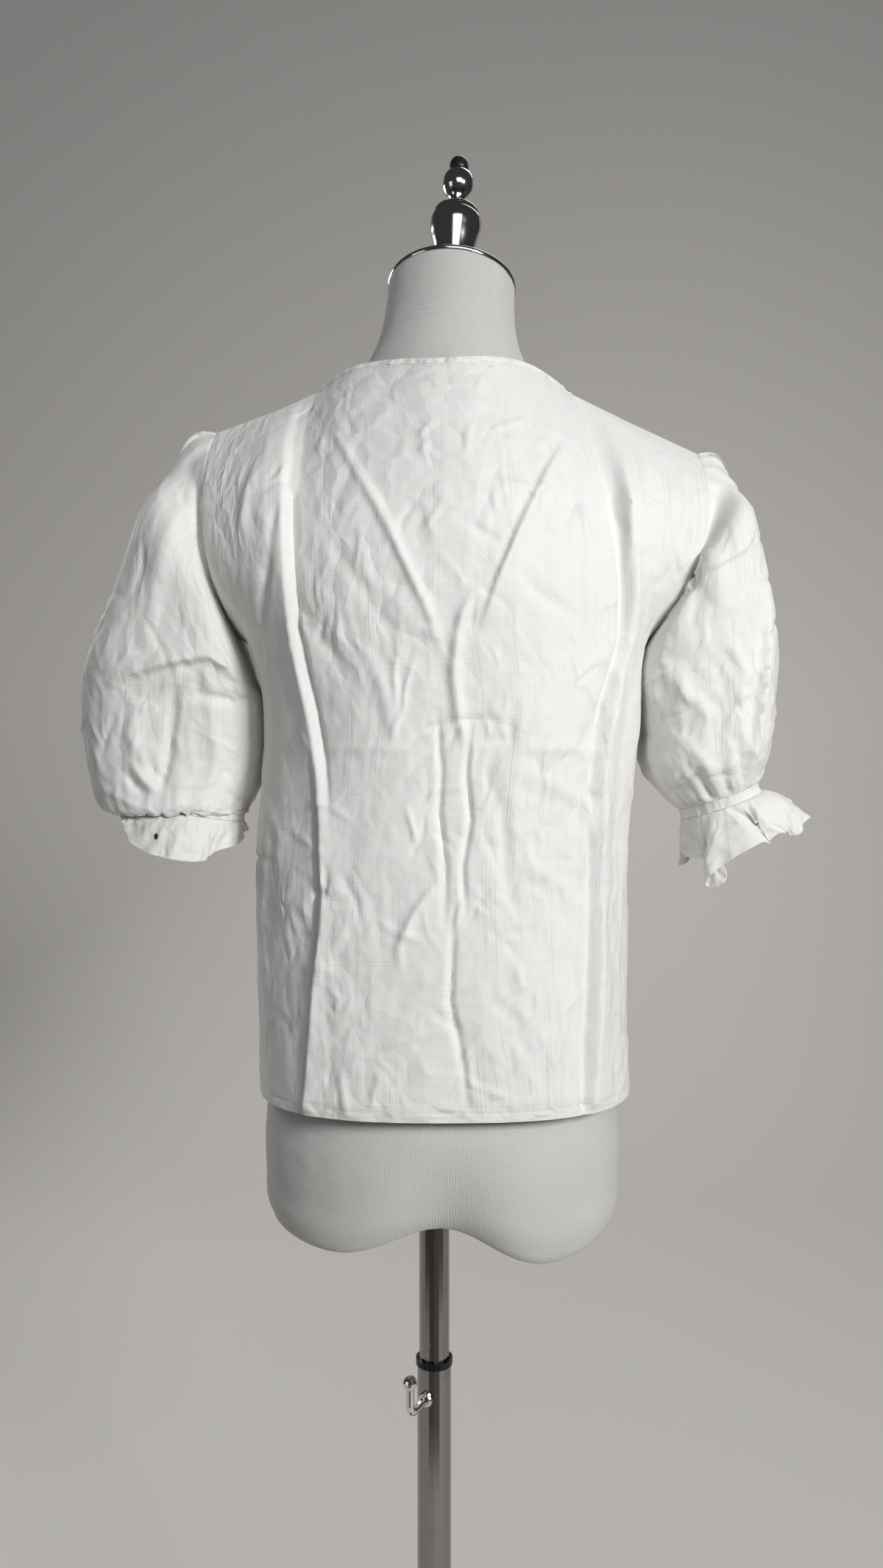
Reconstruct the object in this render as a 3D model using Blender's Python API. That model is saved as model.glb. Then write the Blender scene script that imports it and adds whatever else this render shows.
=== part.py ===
"""A puff sleeve blouse on a limbless dress form, with the form's pole, clamp hook and round base.

Metres, +Z up. The origin is under the base plate on the pole's axis. The blouse's back faces -Y and its
front faces +Y. +X is on the right of someone who looks at the back.
"""
import math

import bpy
import bmesh
import numpy as np
from mathutils import Vector

# Seams, walls and clearances
WALL = 0.0015
GAP = 0.0003
SEAM = GAP / 2
SEAM_START = 0.0007
HEM_EXTRA = 0.0006
CUFF_INSET = 0.0006

# Heights of the blouse
HEM_Z = 0.836
HEM_DEPTH = 0.0075
UNDERARM_Z = 1.193

# The body of the blouse below the arms: one row for each height
# Columns: z, centre_x, half_width, back, front, power
TUBE = [
    (0.836, 0.0068, 0.1513, 0.1250, 0.1180, 2.60),
    (0.900, 0.0050, 0.1520, 0.1235, 0.1180, 2.50),
    (0.970, 0.0045, 0.1525, 0.1210, 0.1190, 2.40),
    (1.030, 0.0050, 0.1530, 0.1190, 0.1220, 2.35),
    (1.090, 0.0110, 0.1530, 0.1180, 0.1270, 2.30),
    (1.140, 0.0150, 0.1545, 0.1175, 0.1300, 2.30),
    (1.193, 0.0100, 0.1600, 0.1170, 0.1300, 2.30),
]

# The upper edge of each panel, from the left shoulder tip over the neckline to the right one.
# The cloth leaves the underarm ring and arrives at this edge with the slopes in the last columns.
# Columns: share, x, y, z, leave_x, leave_y, leave_z, arrive_x, arrive_y, arrive_z
BACK_TOP = [
    (-1.000, -0.1800, 0.000, 1.3710, -0.110, -0.225, 0.110, 0.010, 0.215, 0.150),
    (-0.543, -0.1300, 0.000, 1.3895, -0.040, -0.110, 0.200, 0.010, 0.215, 0.110),
    (-0.433, -0.0980, 0.000, 1.4040, -0.010, -0.075, 0.220, 0.020, 0.170, 0.120),
    (-0.220, -0.0600, -0.036, 1.4105, 0.000, -0.060, 0.230, 0.020, 0.110, 0.150),
    (0.000, 0.0090, -0.066, 1.4045, 0.000, -0.055, 0.230, 0.000, 0.100, 0.180),
    (0.330, 0.0740, -0.036, 1.4120, 0.000, -0.060, 0.230, -0.020, 0.110, 0.150),
    (0.605, 0.1140, 0.000, 1.4030, 0.010, -0.075, 0.220, -0.020, 0.170, 0.120),
    (0.715, 0.1640, 0.000, 1.3785, 0.040, -0.110, 0.200, -0.010, 0.215, 0.110),
    (1.000, 0.2170, 0.000, 1.3540, 0.125, -0.225, 0.110, -0.010, 0.215, 0.150),
]
FRONT_TOP = [
    (-1.000, -0.1800, 0.000, 1.3710, -0.100, 0.200, 0.110, 0.010, -0.190, 0.150),
    (-0.800, -0.1300, 0.000, 1.3895, -0.040, 0.080, 0.200, 0.010, -0.215, 0.110),
    (-0.600, -0.0980, 0.000, 1.4040, -0.010, 0.030, 0.220, 0.020, -0.190, 0.120),
    (-0.420, -0.0660, 0.066, 1.3500, 0.000, 0.010, 0.170, 0.000, -0.090, 0.130),
    (-0.200, -0.0270, 0.112, 1.2810, 0.000, 0.000, 0.090, 0.000, -0.020, 0.080),
    (0.000, 0.0085, 0.128, 1.2260, 0.000, 0.000, 0.034, 0.000, -0.003, 0.033),
    (0.200, 0.0440, 0.112, 1.2810, 0.000, 0.000, 0.090, 0.000, -0.020, 0.080),
    (0.420, 0.0830, 0.066, 1.3500, 0.000, 0.010, 0.170, 0.000, -0.090, 0.130),
    (0.600, 0.1140, 0.000, 1.4030, 0.010, 0.030, 0.220, -0.020, -0.190, 0.120),
    (0.800, 0.1640, 0.000, 1.3785, 0.040, 0.080, 0.200, -0.010, -0.215, 0.110),
    (1.000, 0.2170, 0.000, 1.3540, 0.100, 0.200, 0.110, -0.010, -0.190, 0.150),
]
NECK_ROWS = slice(2, -2)

# Long packing folds of the back: where each crest lies at each height, as a share of the half panel
# Columns: z, left, right
FOLDS = [
    (0.836, -0.420, 0.470),
    (0.930, -0.370, 0.520),
    (1.017, -0.348, 0.540),
    (1.080, -0.395, 0.522),
    (1.135, -0.460, 0.530),
    (1.193, -0.488, 0.660),
]
FOLD_HALF = 0.055
# Columns: columns_past_the_crest, share_of_height
FOLD_PROFILE = [(-2, -0.10), (-1, 0.05), (0, 1.0), (1, 0.72), (2, 0.42), (3, 0.15)]
FOLD_HEIGHT = {"left": 0.0048, "right": 0.0036}
FOLD_FADE = (1.30, 1.385)
FOLD_TURN = (1.05, 1.11)
FOLD_LEAST = 0.25

# Neck binding
BINDING_DEPTH = 0.0062
# Columns: share of its depth, swell
BINDING_ROWS = [(0.0, 0.0003), (0.5, 0.0008), (1.0, 0.0001)]

# Grid counts of the panels: cells between the fold anchors, and rows
BACK_CELLS = (6, 2, 2, 8, 8, 2, 2, 6)
FRONT_CELLS = (5, 8, 8, 5)
LOW_ROWS = 9
UP_ROWS = 10

# Sleeves: one row for each section below the armhole
# Columns: x, y, z, half_width, half_depth, tilt, power
SLEEVE = {
    "left": [
        (-0.1985, 0.006, 1.2620, 0.0620, 0.0700, 62.0, 2.0),
        (-0.2090, 0.016, 1.2085, 0.0610, 0.0760, 40.0, 2.1),
        (-0.2170, 0.024, 1.1620, 0.0740, 0.0770, 14.0, 2.3),
        (-0.2195, 0.024, 1.1275, 0.0745, 0.0760, 10.0, 2.3),
        (-0.2185, 0.018, 1.0905, 0.0700, 0.0690, 1.0, 2.2),
        (-0.2130, 0.008, 1.0755, 0.0600, 0.0600, -2.0, 2.0),
        (-0.1920, -0.004, 1.0640, 0.0370, 0.0430, 10.0, 2.0),
    ],
    "right": [
        (0.2215, 0.006, 1.2625, 0.0550, 0.0720, 57.0, 2.0),
        (0.2250, 0.014, 1.2200, 0.0560, 0.0800, 34.0, 2.1),
        (0.2270, 0.020, 1.1750, 0.0570, 0.0820, 22.0, 2.2),
        (0.2265, 0.020, 1.1350, 0.0545, 0.0800, 17.0, 2.2),
        (0.2260, 0.014, 1.1035, 0.0515, 0.0720, 14.0, 2.1),
        (0.2300, 0.006, 1.0825, 0.0410, 0.0560, 14.0, 2.0),
        (0.2345, 0.000, 1.0710, 0.0340, 0.0420, 20.0, 2.0),
    ],
}
SLEEVE_STEPS = 2
SLEEVE_FOLDS = 9
SLEEVE_FOLD_DEPTH = 0.0032
HEAD_REACH = 0.006
HEAD_LIFT = 0.0015
HEAD_PUFF = 0.0045
HEAD_GATHERS = 5
HEAD_GATHER_DEPTH = 0.0022

# Elastic band and ruffle below each sleeve
ELASTIC_DEPTH = 0.008
ELASTIC_COLUMNS = 40
ELASTIC_PUCKER = 0.0006
RUFFLE_WAVES = 11
RUFFLE_CELLS = 5
# Columns: fall, flare, wave
RUFFLE = {
    "left": [(0.000, 0.000, 0.0010), (0.011, 0.003, 0.0035), (0.023, 0.004, 0.0055), (0.034, 0.003, 0.0065)],
    "right": [(0.000, 0.000, 0.0010), (0.012, 0.008, 0.0050), (0.026, 0.015, 0.0090), (0.040, 0.019, 0.0110)],
}

# The limbless form: one row for each ring
# Columns: z, centre_x, half_width, back, front, power
FORM = [
    (0.7300, 0.0065, 0.1375, 0.0970, 0.0775, 2.5),
    (0.7440, 0.0065, 0.1420, 0.1045, 0.0845, 2.5),
    (0.7640, 0.0065, 0.1430, 0.1090, 0.0890, 2.4),
    (0.7950, 0.0065, 0.1440, 0.1120, 0.0920, 2.4),
    (0.8400, 0.0060, 0.1400, 0.1090, 0.0910, 2.3),
    (0.9000, 0.0055, 0.1290, 0.0960, 0.0860, 2.2),
    (0.9700, 0.0050, 0.1140, 0.0800, 0.0800, 2.2),
    (1.0300, 0.0055, 0.1110, 0.0760, 0.0820, 2.2),
    (1.1000, 0.0090, 0.1230, 0.0850, 0.0970, 2.2),
    (1.1700, 0.0080, 0.1350, 0.0960, 0.1080, 2.2),
    (1.2400, 0.0065, 0.1400, 0.1000, 0.1000, 2.2),
    (1.3000, 0.0060, 0.1430, 0.0950, 0.0830, 2.1),
    (1.3400, 0.0060, 0.1540, 0.0820, 0.0680, 1.8),
    (1.3629, 0.0060, 0.1560, 0.0700, 0.0550, 1.4),
    (1.3789, 0.0065, 0.1440, 0.0620, 0.0470, 1.2),
    (1.3899, 0.0070, 0.1220, 0.0580, 0.0370, 1.3),
    (1.4009, 0.0080, 0.0970, 0.0560, 0.0350, 1.4),
    (1.4129, 0.0090, 0.0760, 0.0560, 0.0400, 1.7),
    (1.4280, 0.0105, 0.0640, 0.0540, 0.0470, 2.0),
    (1.4500, 0.0120, 0.0560, 0.0520, 0.0510, 2.0),
    (1.4750, 0.0135, 0.0525, 0.0510, 0.0510, 2.0),
]
FORM_SIDES = 32
LOBE_X = {"left": -0.074, "right": 0.086}
LOBE_Z = {"left": 0.7200, "right": 0.7120}
LOBE_WIDTH = 0.060
NOTCH_Z = 0.7360
FLOOR_RINGS = (0.82, 0.55, 0.28)

# Neck cap and finial, tilted forward with the neck
CAP_CENTRE = (0.0146, 0.0, 1.489)
CAP_RADIUS = 0.053
CAP_THICK = 0.004
CAP_TILT = math.radians(14.0)
CAP_LEAN = math.radians(3.0)
# Columns: height, radius
FINIAL = [
    (0.0000, 0.0120), (0.0120, 0.0125), (0.0300, 0.0150), (0.0480, 0.0190), (0.0600, 0.0210), (0.0680, 0.0200),
    (0.0740, 0.0150), (0.0765, 0.0085), (0.0780, 0.0066), (0.0860, 0.0064), (0.0880, 0.0085), (0.0915, 0.0115),
    (0.0965, 0.0128), (0.1015, 0.0118), (0.1050, 0.0085), (0.1062, 0.0050),
]
TIP = [(0.0000, 0.0050), (0.0015, 0.0066), (0.0050, 0.0069), (0.0080, 0.0056), (0.0097, 0.0030)]
ROUND = 20

# Pole, hook and base
MAST_RADIUS = 0.0125
MAST_BOTTOM = 0.250
MAST_TOP = 0.785
POST_RADIUS = 0.0140
POST_TOP = 0.600
RING_RADIUS = 0.0152
RING_HEIGHT = 0.0055
BASE_RADIUS = 0.150
BASE_HEIGHT = 0.012
BASE_ROUND = 0.003
HOOK_ANGLE = math.radians(-117.0)
HOOK_Z = 0.577
HOOK_REACH = 0.042
HOOK_RISE = 0.026
HOOK_ROD = 0.0032
HOOK_BEND = 0.008
HOOK_BALL = 0.0058
BOSS_RADIUS = 0.006
BOSS_LENGTH = 0.0035

COTTON = (0.86, 0.86, 0.84)
JERSEY = (0.66, 0.65, 0.64)
CHROME = (0.78, 0.77, 0.76)


def clear_scene():
    """Remove every object that the file starts with."""
    for thing in list(bpy.data.objects):
        bpy.data.objects.remove(thing, do_unlink=True)


def material(name, colour, roughness, metallic=0.0):
    """Make a plain Principled material."""
    made = bpy.data.materials.new(name)
    made.use_nodes = True
    shader = made.node_tree.nodes["Principled BSDF"]
    shader.inputs["Base Color"].default_value = (*colour, 1.0)
    shader.inputs["Roughness"].default_value = roughness
    shader.inputs["Metallic"].default_value = metallic
    return made


def add_mesh(name, points, faces, colour, roughness, metallic=0.0, smooth=True):
    """Add one named object from points and faces, with its own material and its faces pointing out."""
    mesh = bpy.data.meshes.new(name)
    mesh.from_pydata([tuple(map(float, p)) for p in points], [], faces)
    work = bmesh.new()
    work.from_mesh(mesh)
    bmesh.ops.recalc_face_normals(work, faces=work.faces)
    work.to_mesh(mesh)
    work.free()
    if smooth:
        mesh.shade_smooth()
        mesh.set_sharp_from_angle(angle=math.radians(40))
    mesh.materials.append(material(name, colour, roughness, metallic))
    thing = bpy.data.objects.new(name, mesh)
    bpy.context.scene.collection.objects.link(thing)
    return thing


def smooth_rows(rows, key, at):
    """Read every column of a table at the values in `at`, along a cubic through its rows."""
    table = np.array(rows, float)
    knots = table[:, key]
    at = np.clip(np.asarray(at, float), knots[0], knots[-1])
    slope = np.gradient(table, knots, axis=0)
    cell = np.clip(np.searchsorted(knots, at, side="right") - 1, 0, len(knots) - 2)
    width = (knots[cell + 1] - knots[cell])[..., None]
    step = (at - knots[cell])[..., None] / width
    start = (1 + 2 * step) * (1 - step) ** 2 * table[cell] + step * (1 - step) ** 2 * width * slope[cell]
    end = step ** 2 * (3 - 2 * step) * table[cell + 1] + step ** 2 * (step - 1) * width * slope[cell + 1]
    return start + end


def oval(angle, half_width, depth, power):
    """Sideways and depthwise shares of a superellipse at an angle from its middle."""
    across = np.sign(np.sin(angle)) * np.abs(np.sin(angle)) ** (2 / power) * half_width
    along = np.sign(np.cos(angle)) * np.abs(np.cos(angle)) ** (2 / power) * depth
    return across, along


def grid_normals(points, outward):
    """Unit normals of a grid of points, turned to the side that `outward` points to."""
    down = np.gradient(points, axis=0)
    over = np.gradient(points, axis=1)
    normal = np.cross(down, over)
    normal /= np.linalg.norm(normal, axis=2, keepdims=True)
    turn = np.sign((normal * outward).sum(axis=2, keepdims=True))
    return normal * turn


def flatten_across(normal):
    """Drop the part of an edge's normals that runs across the edge in Y, so that two panels meet squarely."""
    normal = normal.copy()
    normal[:, 1] = 0.0
    return normal / np.linalg.norm(normal, axis=1, keepdims=True)


def wall_faces(rows, columns, closed):
    """Faces of a wall whose outer grid comes first and whose inner grid follows."""
    inner = rows * columns
    cells = columns if closed else columns - 1
    faces = []
    for i in range(rows - 1):
        for j in range(cells):
            a = i * columns + j
            b = i * columns + (j + 1) % columns
            c = b + columns
            d = a + columns
            faces.append((a, b, c, d))
            faces.append((inner + d, inner + c, inner + b, inner + a))
    for j in range(cells):
        a = j
        b = (j + 1) % columns
        faces.append((b, a, inner + a, inner + b))
        a += (rows - 1) * columns
        b += (rows - 1) * columns
        faces.append((a, b, inner + b, inner + a))
    if not closed:
        for i in range(rows - 1):
            a = i * columns
            faces.append((a, a + columns, inner + a + columns, inner + a))
            b = a + columns - 1
            faces.append((b + columns, b, inner + b, inner + b + columns))
    return faces


def add_wall(name, outer, inner, closed, colour, roughness=0.75):
    """Add a wall between two grids of the same size."""
    rows, columns = outer.shape[:2]
    points = np.concatenate([outer.reshape(-1, 3), inner.reshape(-1, 3)])
    return add_mesh(name, points, wall_faces(rows, columns, closed), colour, roughness)


def spread(anchors, cells):
    """Split the stretch between each two anchors into even cells."""
    parts = []
    for start, end, count in zip(anchors[:-1], anchors[1:], cells):
        parts.append(np.linspace(start, end, count, endpoint=False))
    return np.append(np.concatenate(parts), anchors[-1])


def back_shares(z):
    """Column places of the back at one height: closer together at the two packing folds."""
    _, left, right = smooth_rows(FOLDS, 0, [z])[0]
    anchors = (-1, left - FOLD_HALF, left, left + FOLD_HALF, 0, right - FOLD_HALF, right, right + FOLD_HALF, 1)
    return spread(anchors, BACK_CELLS)


def front_shares(z):
    """Column places of the front: a corner of its upper edge at each neck point."""
    left, right = neck_corners(FRONT_TOP)
    return spread((-1, left, 0, right, 1), FRONT_CELLS)


def neck_corners(table):
    """The shares of a panel's two neck points."""
    neck = table[NECK_ROWS]
    return neck[0][0], neck[-1][0]


def top_edge(table, share):
    """A panel's upper edge: straight stretches along the shoulders and a curve along the neck."""
    knots = np.array(table)
    straight = np.stack([np.interp(share, knots[:, 0], knots[:, k]) for k in range(knots.shape[1])], axis=1)
    curved = smooth_rows(table[NECK_ROWS], 0, share)
    left, right = neck_corners(table)
    in_neck = (share > left) & (share < right)
    return np.where(in_neck[:, None], curved, straight)


def tube_row(share, z, side):
    """One row of the body's tube at height z, on the back (side -1) or the front (side 1)."""
    _, centre, half, back, front, power = smooth_rows(TUBE, 0, [z])[0]
    across, along = oval(share * math.pi / 2, half, back if side < 0 else front, power)
    return np.stack([centre + across, side * np.abs(along), np.full_like(across, z)], axis=1)


def panel(side):
    """The outer points of a panel, from the hem's seam up to its top edge, with their wall directions."""
    shares_at = back_shares if side < 0 else front_shares
    heights = np.linspace(HEM_Z + HEM_DEPTH + GAP, UNDERARM_Z, LOW_ROWS + 1)
    low_shares = [shares_at(z) for z in heights]
    rows = [tube_row(share, z, side) for share, z in zip(low_shares, heights)]
    foot = low_shares[-1]
    table = BACK_TOP if side < 0 else FRONT_TOP
    top = top_edge(table, foot)
    base = rows[-1]
    edge, leave, arrive = top[:, 1:4], top[:, 4:7], top[:, 7:10]
    shares = list(low_shares)
    for step in np.linspace(0, 1, UP_ROWS + 1)[1:]:
        rows.append((1 + 2 * step) * (1 - step) ** 2 * base + step * (1 - step) ** 2 * leave
                    + step ** 2 * (3 - 2 * step) * edge + step ** 2 * (step - 1) * arrive)
        shares.append(foot)
    points = np.array(rows)
    outward = points - np.array([0.008, 0.0, 0.0])
    outward[:, :, 2] = 0.0
    outward[LOW_ROWS + 1:, :, 2] = 0.05
    normal = grid_normals(points, outward)
    if side < 0:
        points = points + normal * packing_folds(points, np.array(shares))[..., None]
    left, right = neck_corners(table)
    on_shoulder = (foot <= left + 1e-6) | (foot >= right - 1e-6)
    points = settle_seams(points, normal, side, on_shoulder)
    return points, normal


def packing_folds(points, shares):
    """How far the two packing folds lift the back's points: steps that fade near the shoulders.

    The middle of the back steps over its sides, but above the waist the left side steps over the middle."""
    lift = np.zeros(points.shape[:2])
    height = points[:, :, 2]
    fade = np.clip((FOLD_FADE[1] - height) / (FOLD_FADE[1] - FOLD_FADE[0]), FOLD_LEAST, 1.0)
    turned = np.clip((height[:, 0] - FOLD_TURN[0]) / (FOLD_TURN[1] - FOLD_TURN[0]), 0.0, 1.0)
    starts = np.cumsum((0,) + BACK_CELLS)
    for name, crest, way, weight in (("left", starts[2], 1, 1 - turned), ("left", starts[2], -1, turned),
                                     ("right", starts[6], -1, np.ones(len(turned)))):
        for off, share in FOLD_PROFILE:
            lift[:, crest + way * off] += FOLD_HEIGHT[name] * share * weight
    return lift * fade


def settle_seams(points, normal, side, on_shoulder):
    """Move the side and shoulder edges half a seam gap apart and square their walls to the seam."""
    for column in (0, -1):
        edge = points[:LOW_ROWS + 1, column]
        edge[:, 1] = side * SEAM
        normal[:LOW_ROWS + 1, column] = flatten_across(normal[:LOW_ROWS + 1, column])
    points[-1, on_shoulder, 1] += side * SEAM
    normal[-1, on_shoulder] = flatten_across(normal[-1, on_shoulder])
    return points


def add_panel(name, side):
    """Add the back or front panel and return its outer points and wall directions."""
    points, normal = panel(side)
    add_wall(name, points, points - normal * WALL, False, COTTON)
    return points, normal


def add_hem(name, points, normal, side):
    """The turned hem below a panel: twice its wall, hanging from its lowest points."""
    edge = points[0] + normal[0] * GAP
    rows = []
    for drop in (0.0, 0.5, 1.0):
        row = edge.copy()
        row[:, 2] = HEM_Z + HEM_DEPTH * (1 - drop)
        rows.append(row)
    outer = np.array(rows)
    level = normal[0].copy()
    level[:, 2] = 0.0
    level /= np.linalg.norm(level, axis=1, keepdims=True)
    inner = outer - np.broadcast_to(level, outer.shape) * (WALL + HEM_EXTRA)
    add_wall(name, outer, inner, False, COTTON)


def in_neck(share, table):
    """Which columns end on the neck's edge, its two corners too."""
    left, right = neck_corners(table)
    return (share >= left - 1e-6) & (share <= right + 1e-6)


def neck_loop(back, back_normal, front, front_normal):
    """The neck's edge all round, with its wall directions and its ways toward the neck."""
    back_in = in_neck(back_shares(UNDERARM_Z), BACK_TOP)
    front_in = in_neck(front_shares(UNDERARM_Z), FRONT_TOP)
    back_edge, front_edge = back[-1][back_in], front[-1][front_in][::-1]
    back_way, front_way = back_normal[-1][back_in], front_normal[-1][front_in][::-1]
    loop = np.concatenate([back_edge, front_edge[1:-1]])
    normal = np.concatenate([back_way, front_way[1:-1]])
    last = len(back_edge) - 1
    for at, pair in ((0, -1), (last, 0)):
        loop[at] = (back_edge[at] + front_edge[pair]) / 2
        normal[at] = back_way[at] + front_way[pair]
    normal /= np.linalg.norm(normal, axis=1, keepdims=True)
    tangent = np.roll(loop, -1, axis=0) - np.roll(loop, 1, axis=0)
    rise = np.cross(tangent, normal)
    rise /= np.linalg.norm(rise, axis=1, keepdims=True)
    inward = np.array([0.0085, 0.0, 1.45]) - loop
    return loop, normal, rise * np.sign((rise * inward).sum(axis=1, keepdims=True))


def add_binding(loop, normal, rise):
    """The narrow binding that continues each panel past the neck's edge."""
    start = loop + rise * SEAM_START
    rows = []
    thick = []
    for along, swell in BINDING_ROWS:
        rows.append(start + rise * BINDING_DEPTH * along + normal * swell)
        thick.append(WALL + swell * 2)
    outer = np.array(rows)
    inner = outer - normal[None] * np.array(thick)[:, None, None]
    add_wall("neck_binding", outer, inner, True, COTTON)


def armhole_loop(column, back, back_normal, front, front_normal):
    """The armhole's edge from the shoulder tip down the back, under the arm and up the front."""
    down = back[LOW_ROWS:, column][::-1]
    up = front[LOW_ROWS:, column]
    down_normal = back_normal[LOW_ROWS:, column][::-1]
    up_normal = front_normal[LOW_ROWS:, column]
    loop = np.concatenate([[(down[0] + up[-1]) / 2], down[1:-1], [(down[-1] + up[0]) / 2], up[1:-1]])
    normal = np.concatenate([[(down_normal[0] + up_normal[-1]) / 2], down_normal[1:-1],
                             [(down_normal[-1] + up_normal[0]) / 2], up_normal[1:-1]])
    loop = halve_cells(loop)
    normal = halve_cells(normal)
    return loop, normal / np.linalg.norm(normal, axis=1, keepdims=True)


def halve_cells(loop):
    """Add the middle of each cell to a closed loop."""
    middle = (loop + np.roll(loop, -1, axis=0)) / 2
    return np.stack([loop, middle], axis=1).reshape(-1, 3)


def sleeve_sections(side_name, count):
    """The sleeve's rings below the armhole, through the rows of its table."""
    rows = np.array(SLEEVE[side_name])
    steps = np.arange(len(rows))
    table = np.column_stack([steps, rows])
    at = np.linspace(0, len(rows) - 1, SLEEVE_STEPS * (len(rows) - 1) + 1)
    outward = -1.0 if side_name == "left" else 1.0
    angle = np.arange(count) / count * 2 * math.pi
    rings = []
    for _, x, y, z, half, depth, tilt, power in smooth_rows(table, 0, at):
        deep, wide = oval(angle, depth, half, power)
        lean = math.radians(tilt)
        rings.append(np.stack([x + outward * wide * math.cos(lean), y - deep, z + wide * math.sin(lean)], axis=1))
    return np.array(rings), at / (len(rows) - 1)


def add_sleeve(side_name, loop, loop_normal):
    """One puff sleeve from the armhole's edge to the elastic."""
    count = len(loop)
    rings, way = sleeve_sections(side_name, count)
    outward = -1.0 if side_name == "left" else 1.0
    along = np.roll(loop, -1, axis=0) - np.roll(loop, 1, axis=0)
    leave = np.cross(along, loop_normal)
    leave /= np.linalg.norm(leave, axis=1, keepdims=True)
    leave *= np.sign(leave[:, 0].sum() * outward)
    start = loop + leave * SEAM_START
    on_top = np.clip(np.cos(np.arange(count) / count * 2 * math.pi), 0, 1)[:, None] ** 2
    lip = loop + leave * HEAD_REACH * (1 + on_top) + loop_normal * (HEAD_LIFT + HEAD_PUFF * on_top)
    points = np.concatenate([[start, lip], rings])
    padded = np.concatenate([points[:, -1:], points, points[:, :1]], axis=1)
    middle = points.mean(axis=1, keepdims=True)
    outward_way = np.concatenate([(points - middle)[:, -1:], points - middle, (points - middle)[:, :1]], axis=1)
    normal = grid_normals(padded, outward_way)[:, 1:-1]
    angle = np.arange(count) / count * 2 * math.pi
    depth = np.concatenate([[0, 0], SLEEVE_FOLD_DEPTH * way ** 1.5])
    depth[-1] = 0.0
    head = np.concatenate([[0, 1.0], np.clip(1 - way * 4, 0, 1)]) * HEAD_GATHER_DEPTH
    folds = np.cos(angle * SLEEVE_FOLDS + 0.7 * np.sin(2 * angle))
    gathers = np.cos(angle * HEAD_GATHERS * 2) * np.clip(np.cos(angle), 0, 1)
    points = points + normal * (depth[:, None] * folds + head[:, None] * gathers)[..., None]
    normal[0] = loop_normal
    normal[-1] = cuff_ring(side_name, count)[2]
    add_wall("sleeve_" + side_name, points, points - normal * WALL, True, COTTON)


def cuff_ring(side_name, count):
    """Ring, fall and outward directions of the cuff at the last section of the sleeve's table."""
    x, y, z, half, depth, tilt, power = SLEEVE[side_name][-1]
    outward = -1.0 if side_name == "left" else 1.0
    angle = np.arange(count) / count * 2 * math.pi
    lean = math.radians(tilt)
    wide_way = np.array([outward * math.cos(lean), 0.0, math.sin(lean)])
    deep_way = np.array([0.0, -1.0, 0.0])
    fall = np.cross(wide_way, deep_way)
    fall *= -np.sign(fall[2])
    deep, wide = oval(angle, depth, half, power)
    ring = np.array([x, y, z]) + wide[:, None] * wide_way + deep[:, None] * deep_way
    out = np.cos(angle)[:, None] * wide_way + np.sin(angle)[:, None] * deep_way
    return ring, fall, out, angle


def add_elastic(side_name):
    """The gathered elastic band below the sleeve."""
    ring, fall, out, angle = cuff_ring(side_name, ELASTIC_COLUMNS)
    ring = ring - out * CUFF_INSET
    start = ring + fall * GAP
    pucker = ELASTIC_PUCKER * np.cos(angle * ELASTIC_COLUMNS / 2)[:, None]
    outer = np.array([start + out * pucker, start + fall * ELASTIC_DEPTH + out * pucker])
    inner = np.array([start, start + fall * ELASTIC_DEPTH]) - out * WALL
    add_wall("elastic_" + side_name, outer, inner, True, COTTON)


def add_ruffle(side_name):
    """The ruffle below the elastic, waving more toward its free edge."""
    count = RUFFLE_WAVES * RUFFLE_CELLS
    ring, fall, out, angle = cuff_ring(side_name, count)
    ring = ring - out * CUFF_INSET + fall * (GAP + ELASTIC_DEPTH + GAP)
    waves = np.cos(angle * RUFFLE_WAVES + 0.8 * np.sin(angle) + 0.5 * np.sin(2 * angle))
    rows = []
    for drop, flare, wave in RUFFLE[side_name]:
        ease = (1 + 0.15 * np.cos(angle * 3))[:, None]
        rows.append(ring + fall * drop * ease + out * (flare + wave * waves[:, None]))
    outer = np.array(rows)
    padded = np.concatenate([outer[:, -1:], outer, outer[:, :1]], axis=1)
    outward = np.concatenate([out[-1:], out, out[:1]])
    normal = grid_normals(padded, np.broadcast_to(outward, padded.shape))[:, 1:-1]
    normal[0] = out
    add_wall("ruffle_" + side_name, outer, outer - normal * WALL, True, COTTON)


def form_ring(row, angle):
    """One level ring of the form."""
    z, centre, half, back, front, power = row
    across, along = oval(angle, half, 1.0, power)
    depth = np.where(along < 0, back, front)
    return np.stack([centre + across, along * depth, np.full_like(across, z)], axis=1)


def underside_height(x):
    """Height of the form's underside across its width: two rounded lobes with a shallow notch between them."""
    height = np.full_like(x, NOTCH_Z)
    for name, middle in LOBE_X.items():
        height = height - (NOTCH_Z - LOBE_Z[name]) * np.exp(-((x - middle) / LOBE_WIDTH) ** 2)
    return height


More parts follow.
